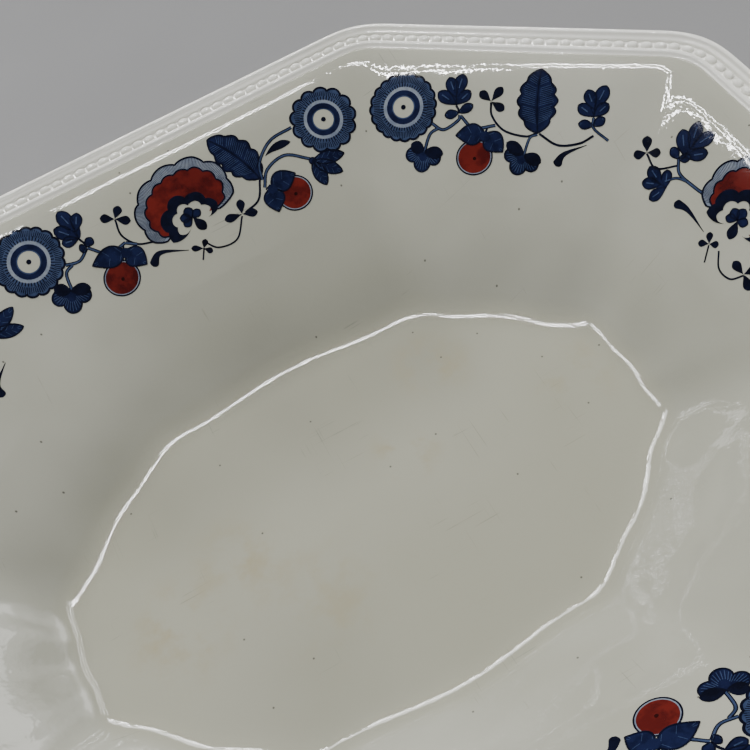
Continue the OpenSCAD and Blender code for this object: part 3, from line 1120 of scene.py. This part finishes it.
@dataclass(frozen=True)
class FanFlower:
    """A fan-shaped flower: pale border, red field, dark arch and a small flower under it."""

    centre: complex
    mirrored: bool = False
    outer: tuple = (
        (-6, 8.2), (6, 12.2), (24, 14.4), (42, 15.4), (62, 15.7), (82, 15.2),
        (110, 15.0), (143, 14.7), (166, 13.2), (186, 11.2), (196, 9.4),
    )
    arch_outer: tuple = (
        (-20, 5.2), (-8, 6.8), (8, 7.4), (30, 7.3), (68, 6.6), (100, 7.2),
        (143, 7.8), (180, 8.2), (205, 7.8), (222, 5.4), (236, 3.4),
    )
    arch_inner: tuple = (
        (-20, 5.1), (-8, 5.3), (8, 5.3), (30, 5.0), (68, 4.3), (100, 4.6),
        (143, 4.9), (180, 5.2), (205, 5.1), (222, 4.4), (236, 3.3),
    )
    field_ends: tuple = (-3, 193)
    petals: tuple = ((-0.3, 3.1, 2.4), (-2.7, 1.4, 2.2), (-2.6, -0.9, 2.0), (2.6, 1.2, 2.0))

    def arc(
        self, knots: tuple, lobes: int, depth: float, cut: float = 0.0, ends: tuple | None = None
    ) -> np.ndarray:
        """A scalloped arc about the centre.

        Args:
            knots: angle in degrees and radius.
            lobes: scallops along it.
            depth: depth of the scallops.
            cut: how much nearer the centre it runs.
            ends: first and last angle, if not those of the knots.

        Returns:
            The arc's points.
        """
        angles, radii = np.array(knots).T
        low, high = ends or (angles[0], angles[-1])
        t = np.linspace(0, 1, 141)
        a = low + (high - low) * t
        r = np.interp(a, angles, radii) - cut - depth * (1 - np.abs(np.sin(np.pi * lobes * t)) ** 0.8)
        way = np.exp(1j * np.radians(a))
        return self.centre + r * (-way.conjugate() if self.mirrored else way)

    def around(self, x: float, y: float) -> complex:
        """A point beside the centre, on the mirrored side if the flower is mirrored."""
        return self.centre + complex(-x if self.mirrored else x, y)

    def draw(self, drawing: Drawing) -> None:
        """Draws the flower.

        Args:
            drawing: the drawing to add it to.
        """
        border = self.arc(self.outer, 7, 1.0)
        line = self.arc(self.outer, 11, 0.7, 2.6, self.field_ends)
        arch_top = self.arc(self.arch_outer, 5, 1.25)
        field_foot = self.arc(self.arch_outer, 4, 0.9, 1.6, self.field_ends)
        drawing.between(line, border, Ink.PALE, 0, 3)
        for k in range(3, 138):
            ends = line[k] + (border[k] - line[k]) * np.array([0.12, 0.5, 0.9])
            drawing.line(ends, 0.12, Ink.LINE if k % 2 else Ink.NAVY, 1)
        drawing.line(border, 0.48)
        drawing.line(line, 0.4)
        for first, last in ((line[0], border[0]), (line[-1], border[-1])):
            drawing.line(smooth([first, last], 4), 0.4)
        drawing.between(field_foot, line, Ink.RED, 0, 6)
        drawing.between(self.arc(self.arch_inner, 5, 0.95), arch_top, Ink.LINE, 3, 3)
        root = self.around(0, 0.2)
        for x, y, width in self.petals:
            drawing.blade(root, self.around(x, y), width, Ink.NAVY, swell=1.4, blunt=0.7, edge=0.28)
        root, tip = self.around(0.2, 0.2), self.around(1.9, -3.9)
        drawing.blade(root, tip, 2.6, Ink.LINE, swell=1.5, blunt=0.7, level=1)


@dataclass(frozen=True)
class Berry:
    """A round red fruit under two pointed leaves."""

    centre: complex
    top: complex
    left: complex
    right: complex
    radius: float = 4.4

    def draw(self, drawing: Drawing) -> None:
        """Draws the fruit and its leaves.

        Args:
            drawing: the drawing to add it to.
        """
        a = np.linspace(0, 2 * np.pi, 49)
        ring = np.exp(1j * a) * (1 + 0.02 * np.sin(2 * a + 1))
        c, r = self.centre, self.radius
        drawing.between(c + 0.01 * ring, c + (r - 0.42) * ring, Ink.RED, 0, 4)
        drawing.between(c + (r - 0.42) * ring, c + r * ring, Ink.PALE, 0, 1)
        drawing.loop(c + r * ring, 0.36)
        eye = c + complex(0.1, -0.3)
        drawing.between(eye + 0.01 * ring, eye + 0.42 * ring, Ink.MARK, 2, 1)
        leaf = {"swell": 0.8, "blunt": 0.95, "edge": 0.34, "veins": 3, "level": 3}
        for tip, bend in ((self.left, -0.02), (self.right, 0.02)):
            drawing.blade(self.top, tip, 5.2, Ink.NAVY, bend=bend, **leaf)
        drawing.between(self.top + 0.01 * ring, self.top + complex(0, -0.5) + 1.25 * ring, Ink.NAVY, 6, 1)


@dataclass(frozen=True)
class PointedLeaf:
    """A large leaf with a scalloped edge."""

    base: complex
    tip: complex
    width: float = 9.0
    bend: float = 0.04

    def draw(self, drawing: Drawing) -> None:
        """Draws the leaf.

        Args:
            drawing: the drawing to add it to.
        """
        leaf = Blade(self.base, self.tip, self.width, Ink.NAVY, self.bend, 0.95, 0.62, 5, 0.42, 22, Ink.WASH)
        leaf.draw(drawing)
        drawing.line(leaf.middle(np.linspace(0.0, 0.97, 16)), 0.32, Ink.LINE, 2)


@dataclass(frozen=True)
class LobedLeaf:
    """Round-ended lobes from one base, with a pair of small leaves on the stalk."""

    base: complex
    lobes: tuple[complex, ...]
    small: tuple[complex, ...] = ()
    joint: complex | None = None

    def draw(self, drawing: Drawing) -> None:
        """Draws the lobes and the small leaves.

        Args:
            drawing: the drawing to add it to.
        """
        head = (self.lobes[0] + self.lobes[1]) / 2 - self.base
        for k, tip in enumerate(self.lobes):
            root = self.base + head * (0.28 if k < 2 else 0.04)
            width = 0.34 * abs(tip - root) + 1.2
            drawing.blade(root, tip, width, Ink.NAVY, swell=1.5, blunt=0.62, edge=0.28, level=k % 2)
            drawing.line(smooth([root + (tip - root) * 0.4, root + (tip - root) * 0.8], 4), 0.3, Ink.WASH, 3)
        drawing.blade(self.base, self.base + head * 0.75, 2.6, Ink.NAVY, blunt=0.7, level=2)
        drawing.line(smooth([self.base, self.base + head * 0.8], 6), 0.24, Ink.LINE, 3)
        if self.joint is not None:
            drawing.stem([self.base, (self.base + self.joint) / 2 + 0.2, self.joint], 0.55)
            for tip in self.small:
                drawing.blade(self.joint, tip, 2.2, Ink.NAVY, swell=1.3, blunt=0.65, edge=0.3, veins=2)


@dataclass(frozen=True)
class Trefoil:
    """A hanging flower: two dark lobes over a hatched scalloped skirt."""

    top: complex
    tips: tuple[complex, complex]
    foot: complex

    def draw(self, drawing: Drawing) -> None:
        """Draws the flower.

        Args:
            drawing: the drawing to add it to.
        """
        mid = self.top + (self.foot - self.top) * 0.22
        reach = abs(self.foot - mid)
        down = np.angle(self.foot - mid)
        t = np.linspace(-1.0, 1.0, 91)
        r = reach * (0.72 + 0.3 * np.abs(np.cos(np.pi * 1.5 * t)) ** 0.8) * (1 - 0.22 * t**2)
        edge = mid + r * np.exp(1j * (down + t * 1.75))
        drawing.between(np.full(91, mid), edge, Ink.NAVY, 0, 4)
        drawing.line(edge, 0.36)
        for k in range(8, 84, 4):
            drawing.line(mid + (edge[k] - mid) * np.array([0.5, 0.7, 0.9]), 0.16, Ink.WASH, 1)
        root = self.top + (self.foot - self.top) * 0.24
        for tip in self.tips:
            drawing.blade(root, tip, 3.2, Ink.LINE, swell=1.2, blunt=0.6, level=3)


@dataclass(frozen=True)
class Paddles:
    """Dark round-ended leaflets from one joint."""

    joint: complex
    tips: tuple[complex, ...]
    width: float = 1.7

    def draw(self, drawing: Drawing) -> None:
        """Draws the leaflets."""
        for tip in self.tips:
            drawing.blade(self.joint, tip, self.width * 1.2, Ink.LINE, swell=1.75, blunt=0.7, level=1)


@dataclass(frozen=True)
class Tulip:
    """Pointed leaves that open from a knob."""

    knob: complex
    tips: tuple[complex, ...]

    def draw(self, drawing: Drawing) -> None:
        """Draws the knob and the leaves.

        Args:
            drawing: the drawing to add it to.
        """
        ring = np.exp(1j * np.linspace(0, 2 * np.pi, 17))
        drawing.between(self.knob + 0.01 * ring, self.knob + 0.85 * ring, Ink.NAVY, 1, 1)
        drawing.loop(self.knob + 0.85 * ring, 0.3, level=3)
        leaf = {"swell": 1.1, "blunt": 0.7, "edge": 0.34, "veins": 5}
        for k, tip in enumerate(self.tips):
            drawing.blade(self.knob, tip, 3.3, Ink.NAVY, level=k % 2, **leaf)


@dataclass(frozen=True)
class Teardrop:
    """A dark drop with a curling tail."""

    head: complex
    bend: complex
    tail: complex
    width: float = 2.3

    def draw(self, drawing: Drawing) -> None:
        """Draws the drop.

        Args:
            drawing: the drawing to add it to.
        """
        path = smooth([self.head, self.bend, self.tail], 16)
        t = np.linspace(0, 1, len(path))
        drawing.line(path, self.width * np.sqrt(np.minimum(1, t * 9)) * (1 - t) ** 1.3 + 0.16, Ink.LINE, 1)


def long_sprig() -> Drawing:
    """The border of a long panel.

    Returns:
        The drawing.
    """
    d = Drawing()
    d.carry(
        Rosette(at(-43.6, 12.4), 8.8, 18),
        Rosette(at(38.1, 13.4), 8.4, 13, 0.11, 88),
        LobedLeaf(at(-30.2, 13.0), (at(-31.8, 4.4), at(-27.8, 6.8), at(-34.6, 8.0), at(-34.4, 12.2)),
                  (at(-27.4, 14.0), at(-31.3, 15.4)), at(-29.5, 15.4)),
        Paddles(at(-20.2, 12.4), (at(-17.8, 9.9), at(-23.4, 10.6), at(-16.9, 14.6)), 1.9),
        Trefoil(at(-37.4, 21.8), (at(-41.4, 21.2), at(-33.2, 24.9)), at(-39.6, 28.6)),
        Berry(at(-25.4, 26.3), at(-21.6, 20.7), at(-30.4, 20.4), at(-18.4, 26.0)),
        FanFlower(at(-3.1, 21.0)),
        Teardrop(at(-17.3, 27.3), at(-14.2, 25.0), at(-7.6, 27.6), 2.5),
        Paddles(at(-4.1, 28.9), (at(-2.6, 27.0), at(-6.9, 27.5), at(-2.4, 30.6)), 1.3),
        Paddles(at(8.4, 25.6), (at(9.6, 22.0), at(3.8, 25.0), at(12.2, 26.8)), 1.8),
        PointedLeaf(at(16.6, 19.6), at(9.4, 4.9), 8.8, -0.06),
        Tulip(at(30.6, 21.6), (at(38.7, 23.4), at(36.2, 27.4), at(31.0, 28.6))),
        Berry(at(22.8, 26.8), at(18.2, 23.0), at(17.0, 29.2), at(25.2, 22.4)),
    )
    d.blade(at(20.4, 15.2), at(27.9, 14.8), 2.1, Ink.LINE, bend=0.1, swell=1.5, blunt=0.7, level=1)
    d.stem([at(-36.1, 17.2), at(-32.6, 17.8), at(-29.6, 15.8)])
    d.stem([at(-29.4, 15.8), at(-25.4, 19.4), at(-20.6, 18.8)])
    d.stem([at(-20.2, 12.6), at(-20.6, 16.8), at(-18.2, 20.4), at(-14.4, 21.8)], 0.5)
    d.stem([at(-20.6, 18.9), at(-18.6, 20.2), at(-18.2, 20.4)])
    d.stem([at(-34.6, 17.9), at(-36.9, 19.2), at(-37.6, 23.6)])
    d.stem([at(-21.4, 19.1), at(-21.9, 20.7)], 0.5)
    d.stem([at(-5.6, 31.4), at(-4.0, 28.8)], 0.4)
    d.stem([at(-3.0, 27.8), at(-0.6, 30.4), at(4.4, 30.6), at(8.2, 26.0)], 0.45)
    d.stem([at(9.4, 25.6), at(13.8, 24.2), at(16.6, 19.6)], 0.55)
    d.stem([at(17.0, 20.2), at(18.4, 16.0), at(23.4, 12.2), at(29.8, 11.6)])
    d.stem([at(16.6, 22.2), at(19.4, 18.4), at(25.0, 17.2), at(30.2, 20.8)])
    d.stem([at(16.6, 22.8), at(18.2, 22.2)], 0.4)
    return d


def end_sprig() -> Drawing:
    """The border of an end panel.

    Returns:
        The drawing.
    """
    d = Drawing()
    d.carry(
        Paddles(at(-33.8, 22.0), (at(-36.6, 19.2), at(-35.4, 24.6), at(-31.2, 19.9)), 1.9),
        LobedLeaf(at(-25.6, 17.0), (at(-29.4, 9.0), at(-24.2, 8.5), at(-31.2, 12.8), at(-21.8, 12.6)),
                  (at(-30.0, 17.4), at(-24.4, 15.9)), at(-26.6, 18.0)),
        LobedLeaf(at(-23.6, 24.6), (at(-30.8, 23.9), at(-29.4, 27.6), at(-26.8, 21.6), at(-25.0, 29.2))),
        FanFlower(at(-4.4, 18.7)),
        Teardrop(at(-19.4, 25.6), at(-15.4, 24.6), at(-8.5, 25.4), 2.4),
        Paddles(at(-5.4, 26.4), (at(-7.3, 24.4), at(-7.6, 28.0), at(-3.4, 25.0)), 1.4),
        Paddles(at(6.0, 25.6), (at(7.4, 22.2), at(2.0, 25.2), at(9.8, 27.0)), 1.8),
        PointedLeaf(at(13.6, 18.4), at(15.6, 4.8), 8.2, 0.05),
        Berry(at(20.4, 25.8), at(15.8, 22.0), at(14.6, 28.2), at(22.8, 21.4)),
        Tulip(at(27.0, 18.0), (at(34.2, 15.0), at(35.0, 19.4), at(31.6, 23.6))),
    )
    d.stem([at(-33.6, 22.2), at(-29.4, 23.2), at(-25.6, 19.4)], 0.5)
    d.stem([at(-26.6, 18.0), at(-23.6, 20.2), at(-18.4, 20.0), at(-15.4, 19.6)])
    d.stem([at(-25.2, 23.8), at(-23.4, 21.4), at(-20.6, 20.2)], 0.7)
    d.stem([at(-2.4, 25.9), at(0.8, 28.6), at(4.4, 28.4), at(6.2, 25.8)], 0.45)
    d.stem([at(6.4, 25.8), at(11.4, 24.6), at(13.6, 18.4)], 0.55)
    d.stem([at(13.4, 20.8), at(18.0, 15.2), at(26.6, 17.4)])
    d.stem([at(-3.0, 30.0), at(-5.2, 26.6)], 0.4)
    return d


def corner_sprig() -> Drawing:
    """The border of the corner panels that carry a round flower.

    Returns:
        The drawing.
    """
    d = Drawing()
    d.carry(
        Rosette(at(-27.0, 15.5), 8.6, 20, 0.06, 104, 52),
        LobedLeaf(at(-13.4, 14.5), (at(-12.4, 6.6), at(-15.9, 7.6), at(-10.2, 10.7), at(-18.3, 11.4)),
                  (at(-9.2, 14.1), at(-16.0, 17.1)), at(-12.6, 16.2)),
        Paddles(at(-4.7, 13.1), (at(-7.8, 10.7), at(-2.2, 9.4), at(-1.2, 15.1)), 1.9),
        Trefoil(at(-20.3, 24.6), (at(-24.0, 24.6), at(-15.5, 26.6)), at(-20.9, 31.3)),
        Berry(at(-7.5, 27.0), at(-5.4, 21.2), at(-12.7, 21.9), at(-0.5, 25.3)),
        PointedLeaf(at(7.6, 20.2), at(6.8, 4.6), 9.4, 0.03),
        Trefoil(at(5.4, 24.2), (at(0.2, 22.9), at(9.2, 27.4)), at(2.9, 30.4)),
        Teardrop(at(12.9, 28.0), at(14.6, 25.0), at(19.8, 22.5), 2.5),
        LobedLeaf(at(20.7, 15.9), (at(23.0, 8.1), at(18.6, 9.3), at(16.8, 13.0), at(23.9, 12.4)),
                  (at(17.3, 17.5), at(23.4, 15.9)), at(20.8, 17.8)),
    )
    d.stem([at(-19.2, 19.2), at(-16.0, 20.6), at(-12.6, 18.2), at(-12.2, 16.8)])
    d.stem([at(-12.0, 17.0), at(-8.4, 19.8), at(-3.0, 18.9)])
    d.stem([at(-4.7, 13.3), at(-4.1, 16.6), at(-0.8, 20.0), at(4.6, 21.2), at(7.6, 20.2)], 0.55)
    d.stem([at(-17.4, 20.3), at(-19.4, 22.0), at(-20.4, 26.4)])
    d.stem([at(-4.8, 19.2), at(-5.4, 21.0)], 0.5)
    d.stem([at(8.0, 20.4), at(12.8, 22.9), at(18.0, 22.2), at(21.2, 20.2)], 0.6)
    d.stem([at(20.7, 15.9), at(21.0, 18.4), at(24.8, 21.2)], 0.7)
    d.stem([at(7.6, 20.6), at(5.8, 21.6), at(4.8, 25.8)], 0.7)
    return d


def tulip_sprig() -> Drawing:
    """The border of the other two corner panels.

    Returns:
        The drawing.
    """
    d = Drawing()
    d.carry(
        LobedLeaf(at(-21.8, 16.4), (at(-21.0, 8.2), at(-24.6, 9.4), at(-18.6, 12.4), at(-26.6, 13.2)),
                  (at(-17.8, 16.2), at(-24.6, 18.8)), at(-21.2, 18.0)),
        Paddles(at(-13.0, 13.4), (at(-16.0, 11.0), at(-10.6, 9.8), at(-9.4, 15.2)), 1.9),
        PointedLeaf(at(-5.6, 20.0), at(-4.6, 4.8), 9.2, 0.04),
        Trefoil(at(-15.4, 24.0), (at(-19.4, 24.2), at(-11.2, 25.8)), at(-16.0, 30.6)),
        Berry(at(-1.4, 27.2), at(0.6, 21.6), at(-6.6, 22.3), at(5.4, 25.7)),
        Paddles(at(8.6, 19.6), (at(6.4, 15.6), at(11.0, 16.0), at(12.4, 21.4)), 1.8),
        Teardrop(at(10.4, 28.2), at(12.6, 25.6), at(18.2, 24.4), 2.4),
        Tulip(at(22.2, 18.2), (at(29.6, 14.6), at(31.4, 18.8), at(28.4, 23.4))),
    )
    d.stem([at(-25.6, 21.4), at(-22.6, 20.8), at(-21.2, 18.2)])
    d.stem([at(-21.0, 18.2), at(-14.0, 22.0), at(-5.8, 20.2)], 0.7)
    d.stem([at(-13.0, 13.6), at(-12.6, 18.0), at(-9.4, 21.2)], 0.5)
    d.stem([at(-15.6, 24.0), at(-15.2, 22.4), at(-13.6, 21.8)], 0.7)
    d.stem([at(-5.6, 20.4), at(1.4, 22.6), at(8.6, 19.8)], 0.6)
    d.stem([at(8.8, 19.8), at(14.0, 14.8), at(21.8, 17.6)], 0.8)
    return d


@dataclass(frozen=True)
class Panel:
    """One wall panel that a drawing is laid on."""

    name: str
    degrees: float
    top: float
    foot: float
    shift: float
    sprig: Callable[[], Drawing]


@dataclass
class Border:
    """The printed and enamelled border on all eight panels."""

    shape: BowlShape
    tree: BVHTree
    inks: dict[Ink, bpy.types.Material]
    lift: float = 0.025

    def panels(self) -> list[Panel]:
        """The eight panels, with the drawing that each carries.

        Returns:
            The panels.
        """
        top, well = self.shape.rim(self.shape.band), self.shape.well
        nx, ny = self.shape.normal
        lean = math.degrees(math.atan2(nx, ny))
        reach_top = self.shape.reach - self.shape.band
        reach_foot = nx * well.half_side + ny * well.half_wid
        shift = (ny * (top.half_len + top.half_side) - nx * (top.half_wid + top.half_end)) / 2
        corner = (reach_top, reach_foot)
        return [
            Panel("long_back", 0, top.half_wid, well.half_wid, 0, long_sprig),
            Panel("long_front", 180, top.half_wid, well.half_wid, 0, long_sprig),
            Panel("end_right", -90, top.half_len, well.half_len, 0, end_sprig),
            Panel("end_left", 90, top.half_len, well.half_len, 0, end_sprig),
            Panel("corner_back_right", -lean, *corner, shift, corner_sprig),
            Panel("corner_front_left", 180 - lean, *corner, shift, corner_sprig),
            Panel("corner_back_left", lean, *corner, -shift, tulip_sprig),
            Panel("corner_front_right", 180 + lean, *corner, -shift, tulip_sprig),
        ]

    def lay(self, panel: Panel, flat: np.ndarray, level: np.ndarray) -> np.ndarray:
        """Lays points of a drawing on the glaze.

        Args:
            panel: the panel.
            flat: the points, as complex numbers.
            level: each point's level above the glaze.

        Returns:
            The points in mm, one row each.
        """
        run = panel.top - panel.foot
        shares, levels = self.shape.shares, self.shape.levels
        steps = np.hypot(np.diff(shares) * run, np.diff(levels))
        down = np.concatenate([[0], np.cumsum(steps)])
        share = np.interp(-flat.imag, down, shares)
        slope = np.interp(share, shares, np.gradient(levels, shares)) / run
        turn = math.radians(panel.degrees)
        out, way = np.array([-math.sin(turn), math.cos(turn)]), np.array([math.cos(turn), math.sin(turn)])
        plan = (panel.top - share * run)[:, None] * out + (flat.real + panel.shift)[:, None] * way
        base = np.column_stack([plan, np.interp(share, shares, levels)])
        scale = 1 / np.hypot(1, slope)
        face = np.column_stack([out[0] * slope * scale, out[1] * slope * scale, scale])
        result = np.empty_like(base)
        for i, (p, n, k) in enumerate(zip(base, face, level)):
            hit, normal, _, _ = self.tree.ray_cast(Vector((p + n * 6) * MM), Vector(-n))
            spot = np.array(hit) / MM if hit else p
            up = np.array(normal) if hit else n
            result[i] = spot + up * (1 if up @ n > 0 else -1) * self.lift * (k + 1.2)
        return result

    def piece(self, panel: Panel, drawing: Drawing, inks: Sequence[Ink], kind: str) -> bpy.types.Object:
        """Makes what one set of inks draws on one panel.

        Args:
            panel: the panel.
            drawing: what is drawn on it.
            inks: the inks to take.
            kind: print or enamel.

        Returns:
            The piece.
        """
        points, levels, faces, slots = [], [], [], []
        base = 0
        for patch in drawing.patches:
            if patch.ink not in inks:
                continue
            rows, cols = patch.grid.shape
            i, j = np.meshgrid(np.arange(rows - 1), np.arange(cols - 1), indexing="ij")
            a = base + i * cols + j
            faces += np.stack([a, a + 1, a + cols + 1, a + cols], -1).reshape(-1, 4).tolist()
            slots += [inks.index(patch.ink)] * ((rows - 1) * (cols - 1))
            points.append(patch.grid.ravel())
            levels.append(np.full(rows * cols, patch.level, float))
            base += rows * cols
        laid = self.lay(panel, np.concatenate(points), np.concatenate(levels))
        piece = as_object(f"{kind}_{panel.name}_laid", laid, faces)
        piece.data.polygons.foreach_set("material_index", slots)
        self.tidy(piece)
        slot = "blue_print" if kind == "print" else "red_enamel"
        seat(piece, f"{kind}_{panel.name}", slot, *(self.inks[ink] for ink in inks))
        return piece

    def tidy(self, piece: bpy.types.Object) -> None:
        """Merges doubled points and turns every face out of the glaze.

        Args:
            piece: the piece, which it changes.
        """
        bm = bmesh.new()
        bm.from_mesh(piece.data)
        bmesh.ops.remove_doubles(bm, verts=bm.verts, dist=2e-7)
        bmesh.ops.dissolve_degenerate(bm, edges=bm.edges, dist=1e-7)
        for f in bm.faces:
            f.normal_update()
        bmesh.ops.reverse_faces(bm, faces=[f for f in bm.faces if f.normal.z < 0])
        bm.to_mesh(piece.data)
        bm.free()

    def build(self) -> None:
        """Draws and lays every panel's border."""
        for panel in self.panels():
            drawing = panel.sprig()
            blue = self.piece(panel, drawing, BLUES, "print")
            red = self.piece(panel, drawing, REDS, "enamel")
            log.info("%s: %d blue faces, %d red", panel.name, len(blue.data.polygons), len(red.data.polygons))


# ---------------------------------------------------------------- surroundings


@dataclass(frozen=True)
class Lamp:
    """One soft rectangular light that faces the bowl; way is the direction it lies in, seen from there."""

    name: str
    way: Colour
    metres: float
    size: tuple[float, float]
    watts: float
    roll: float = 0.0

    def hang(self) -> None:
        """Hangs the light."""
        data = bpy.data.lights.new(self.name, "AREA")
        data.shape, data.energy = "RECTANGLE", self.watts
        data.size, data.size_y = self.size
        light = bpy.data.objects.new(self.name, data)
        direction = Vector(self.way).normalized()
        side = Vector((1.0, 0.0, 0.0)).cross(direction).normalized()
        turn = Matrix((side.cross(direction), side, direction)).transposed()
        turn = turn @ Matrix.Rotation(math.radians(self.roll), 3, "Z")
        light.matrix_world = Matrix.Translation(direction * self.metres) @ turn.to_4x4()
        bpy.context.scene.collection.objects.link(light)


@dataclass
class Studio:
    """The table top, the lights and the camera."""

    eye: tuple = (-0.01134, -0.11322, 0.23342)
    right: tuple = (0.87680, -0.44835, -0.17379)
    up: tuple = (0.46769, 0.71117, 0.52488)
    ahead: tuple = (0.11174, 0.54150, -0.83324)
    lens: float = 51.42
    table_reach: float = 4000.0
    sky_strength: float = 0.08
    sky_colour: Colour = (1.0, 0.995, 0.985)

    def camera(self) -> None:
        """Sets the camera."""
        data = bpy.data.cameras.new("camera")
        data.lens, data.sensor_width, data.clip_start = self.lens, 36.0, 0.01
        eye = bpy.data.objects.new("camera", data)
        axes = Matrix((self.right, self.up, tuple(-v for v in self.ahead))).transposed()
        eye.matrix_world = Matrix.Translation(self.eye) @ axes.to_4x4()
        bpy.context.scene.collection.objects.link(eye)
        bpy.context.scene.camera = eye

    def table(self) -> None:
        """Sets the table top."""
        corners = np.array([[-1, -1, 0], [1, -1, 0], [1, 1, 0], [-1, 1, 0]]) * self.table_reach
        floor = as_object("table_top", corners, [[0, 1, 2, 3]])
        floor.data.materials.append(TableTop().material("table_top"))

    def sky(self, strength: float, colour: Colour) -> None:
        """Sets the even light all round.

        Args:
            strength: how bright it is.
            colour: its colour.
        """
        world = bpy.data.worlds.new("studio")
        world.use_nodes = True
        shade = world.node_tree.nodes["Background"]
        shade.inputs["Color"].default_value = (*colour, 1.0)
        shade.inputs["Strength"].default_value = strength
        bpy.context.scene.world = world

    def lamps(self) -> list[Lamp]:
        """All the lights.

        The thin ones lie just outside the part of the sky that the level floor mirrors, so that only
        the well's edge, the walls' tops and the rim catch them as fine bright lines.

        Returns:
            The lights.
        """
        out = []
        for k in (-1, 0, 1):
            wide = 0.42 + 0.16 * k
            out.append(Lamp(f"right_{k + 1}", (0.7 + 0.14 * k, 0.48, 1.0), 2.4, (0.018, 1.4), 3.4))
            out.append(Lamp(f"left_{k + 1}", (-0.54 + 0.06 * k, 0.48, 1.0), 2.4, (0.02, 1.1), 6.0))
            out.append(Lamp(f"soft_{k + 1}", (0.81, 0.46, 0.37), 2.0, (wide, wide), 1.1))
        for k in range(6):
            way = (0.06 + 0.34 * (k // 2 - 1), 0.1 + 0.06 * (k % 2) + 0.03 * (k // 2), 1.0)
            out.append(Lamp(f"above_{k}", way, 2.2, (0.62, 0.022), 6.3, 4.0))
        for k in range(10):
            way = (0.08 + 0.29 * (k // 2 - 2), 1.1 + 0.08 * (k % 2), 1.0)
            out.append(Lamp(f"back_{k}", way, 2.8, (0.42, 0.024), 2.7, 5.0))
        out.append(Lamp("glow", (0.0, 1.3, 1.0), 2.8, (3.0, 0.22), 21.0))
        out.append(Lamp("front", (-0.25, -1.0, 0.26), 2.4, (2.0, 0.4), 18.0))
        return out

    def build(self) -> None:
        """Sets everything round the bowl."""
        self.camera()
        self.table()
        self.sky(self.sky_strength, self.sky_colour)
        for lamp in self.lamps():
            lamp.hang()
        log.info("studio: %d lights", len(self.lamps()))


def main() -> None:
    """Builds the bowl and its surroundings."""
    logging.basicConfig(level=logging.INFO, format="%(message)s")
    shape = BowlShape(*(round(side / MM, 2) for side in CAD_BOX[1] - CAD_BOX[0]))
    inside = Glaze(spots=TEA_SPOTS, painted_shade_patches=PAINTED_SHADE_PATCHES, worn=True).material("glaze_inside")
    # Painted highlight: the rim band and beads get a glaze nearly twice as pale as the inside's, standing in
    # for the rim's glints and sheen.
    rim_glaze_painted_sheen = Glaze((0.76, 0.755, 0.71), (0.68, 0.675, 0.62), gloss=0.075, ripple=0.00005)
    moulded = rim_glaze_painted_sheen.material("glaze_rim_painted_sheen")
    bowl = Body(shape)
    body, tree = bowl.build()
    bowl.dress(body, inside)
    foot = Foot(shape)
    foot.dress(foot.build(), BareFoot().material("foot_edge"))
    band = RimBand(shape)
    band.dress(band.build(), moulded)
    beads, rng = BeadRows(shape), random.Random(7)
    for index in range(len(beads.names)):
        beads.dress(beads.row(index, rng), index, moulded)
    inks = {
        Ink.LINE: FiredInk((0.0022, 0.0035, 0.015), (0.0007, 0.0012, 0.006)).material("ink_line"),
        Ink.NAVY: FiredInk((0.006, 0.010, 0.040), (0.0018, 0.0034, 0.018)).material("ink_navy"),
        Ink.WASH: FiredInk((0.036, 0.055, 0.11), (0.016, 0.027, 0.065)).material("ink_wash"),
        Ink.PALE: FiredInk((0.20, 0.225, 0.26), (0.11, 0.135, 0.19)).material("ink_pale"),
        Ink.RED: FiredInk((0.115, 0.011, 0.008), (0.040, 0.0028, 0.003), 240.0).material("enamel_red"),
        Ink.MARK: FiredInk((0.02, 0.002, 0.002), (0.01, 0.001, 0.001)).material("enamel_mark"),
    }
    Border(shape, tree, inks).build()
    Studio().build()


if __name__ == "__main__":
    main()
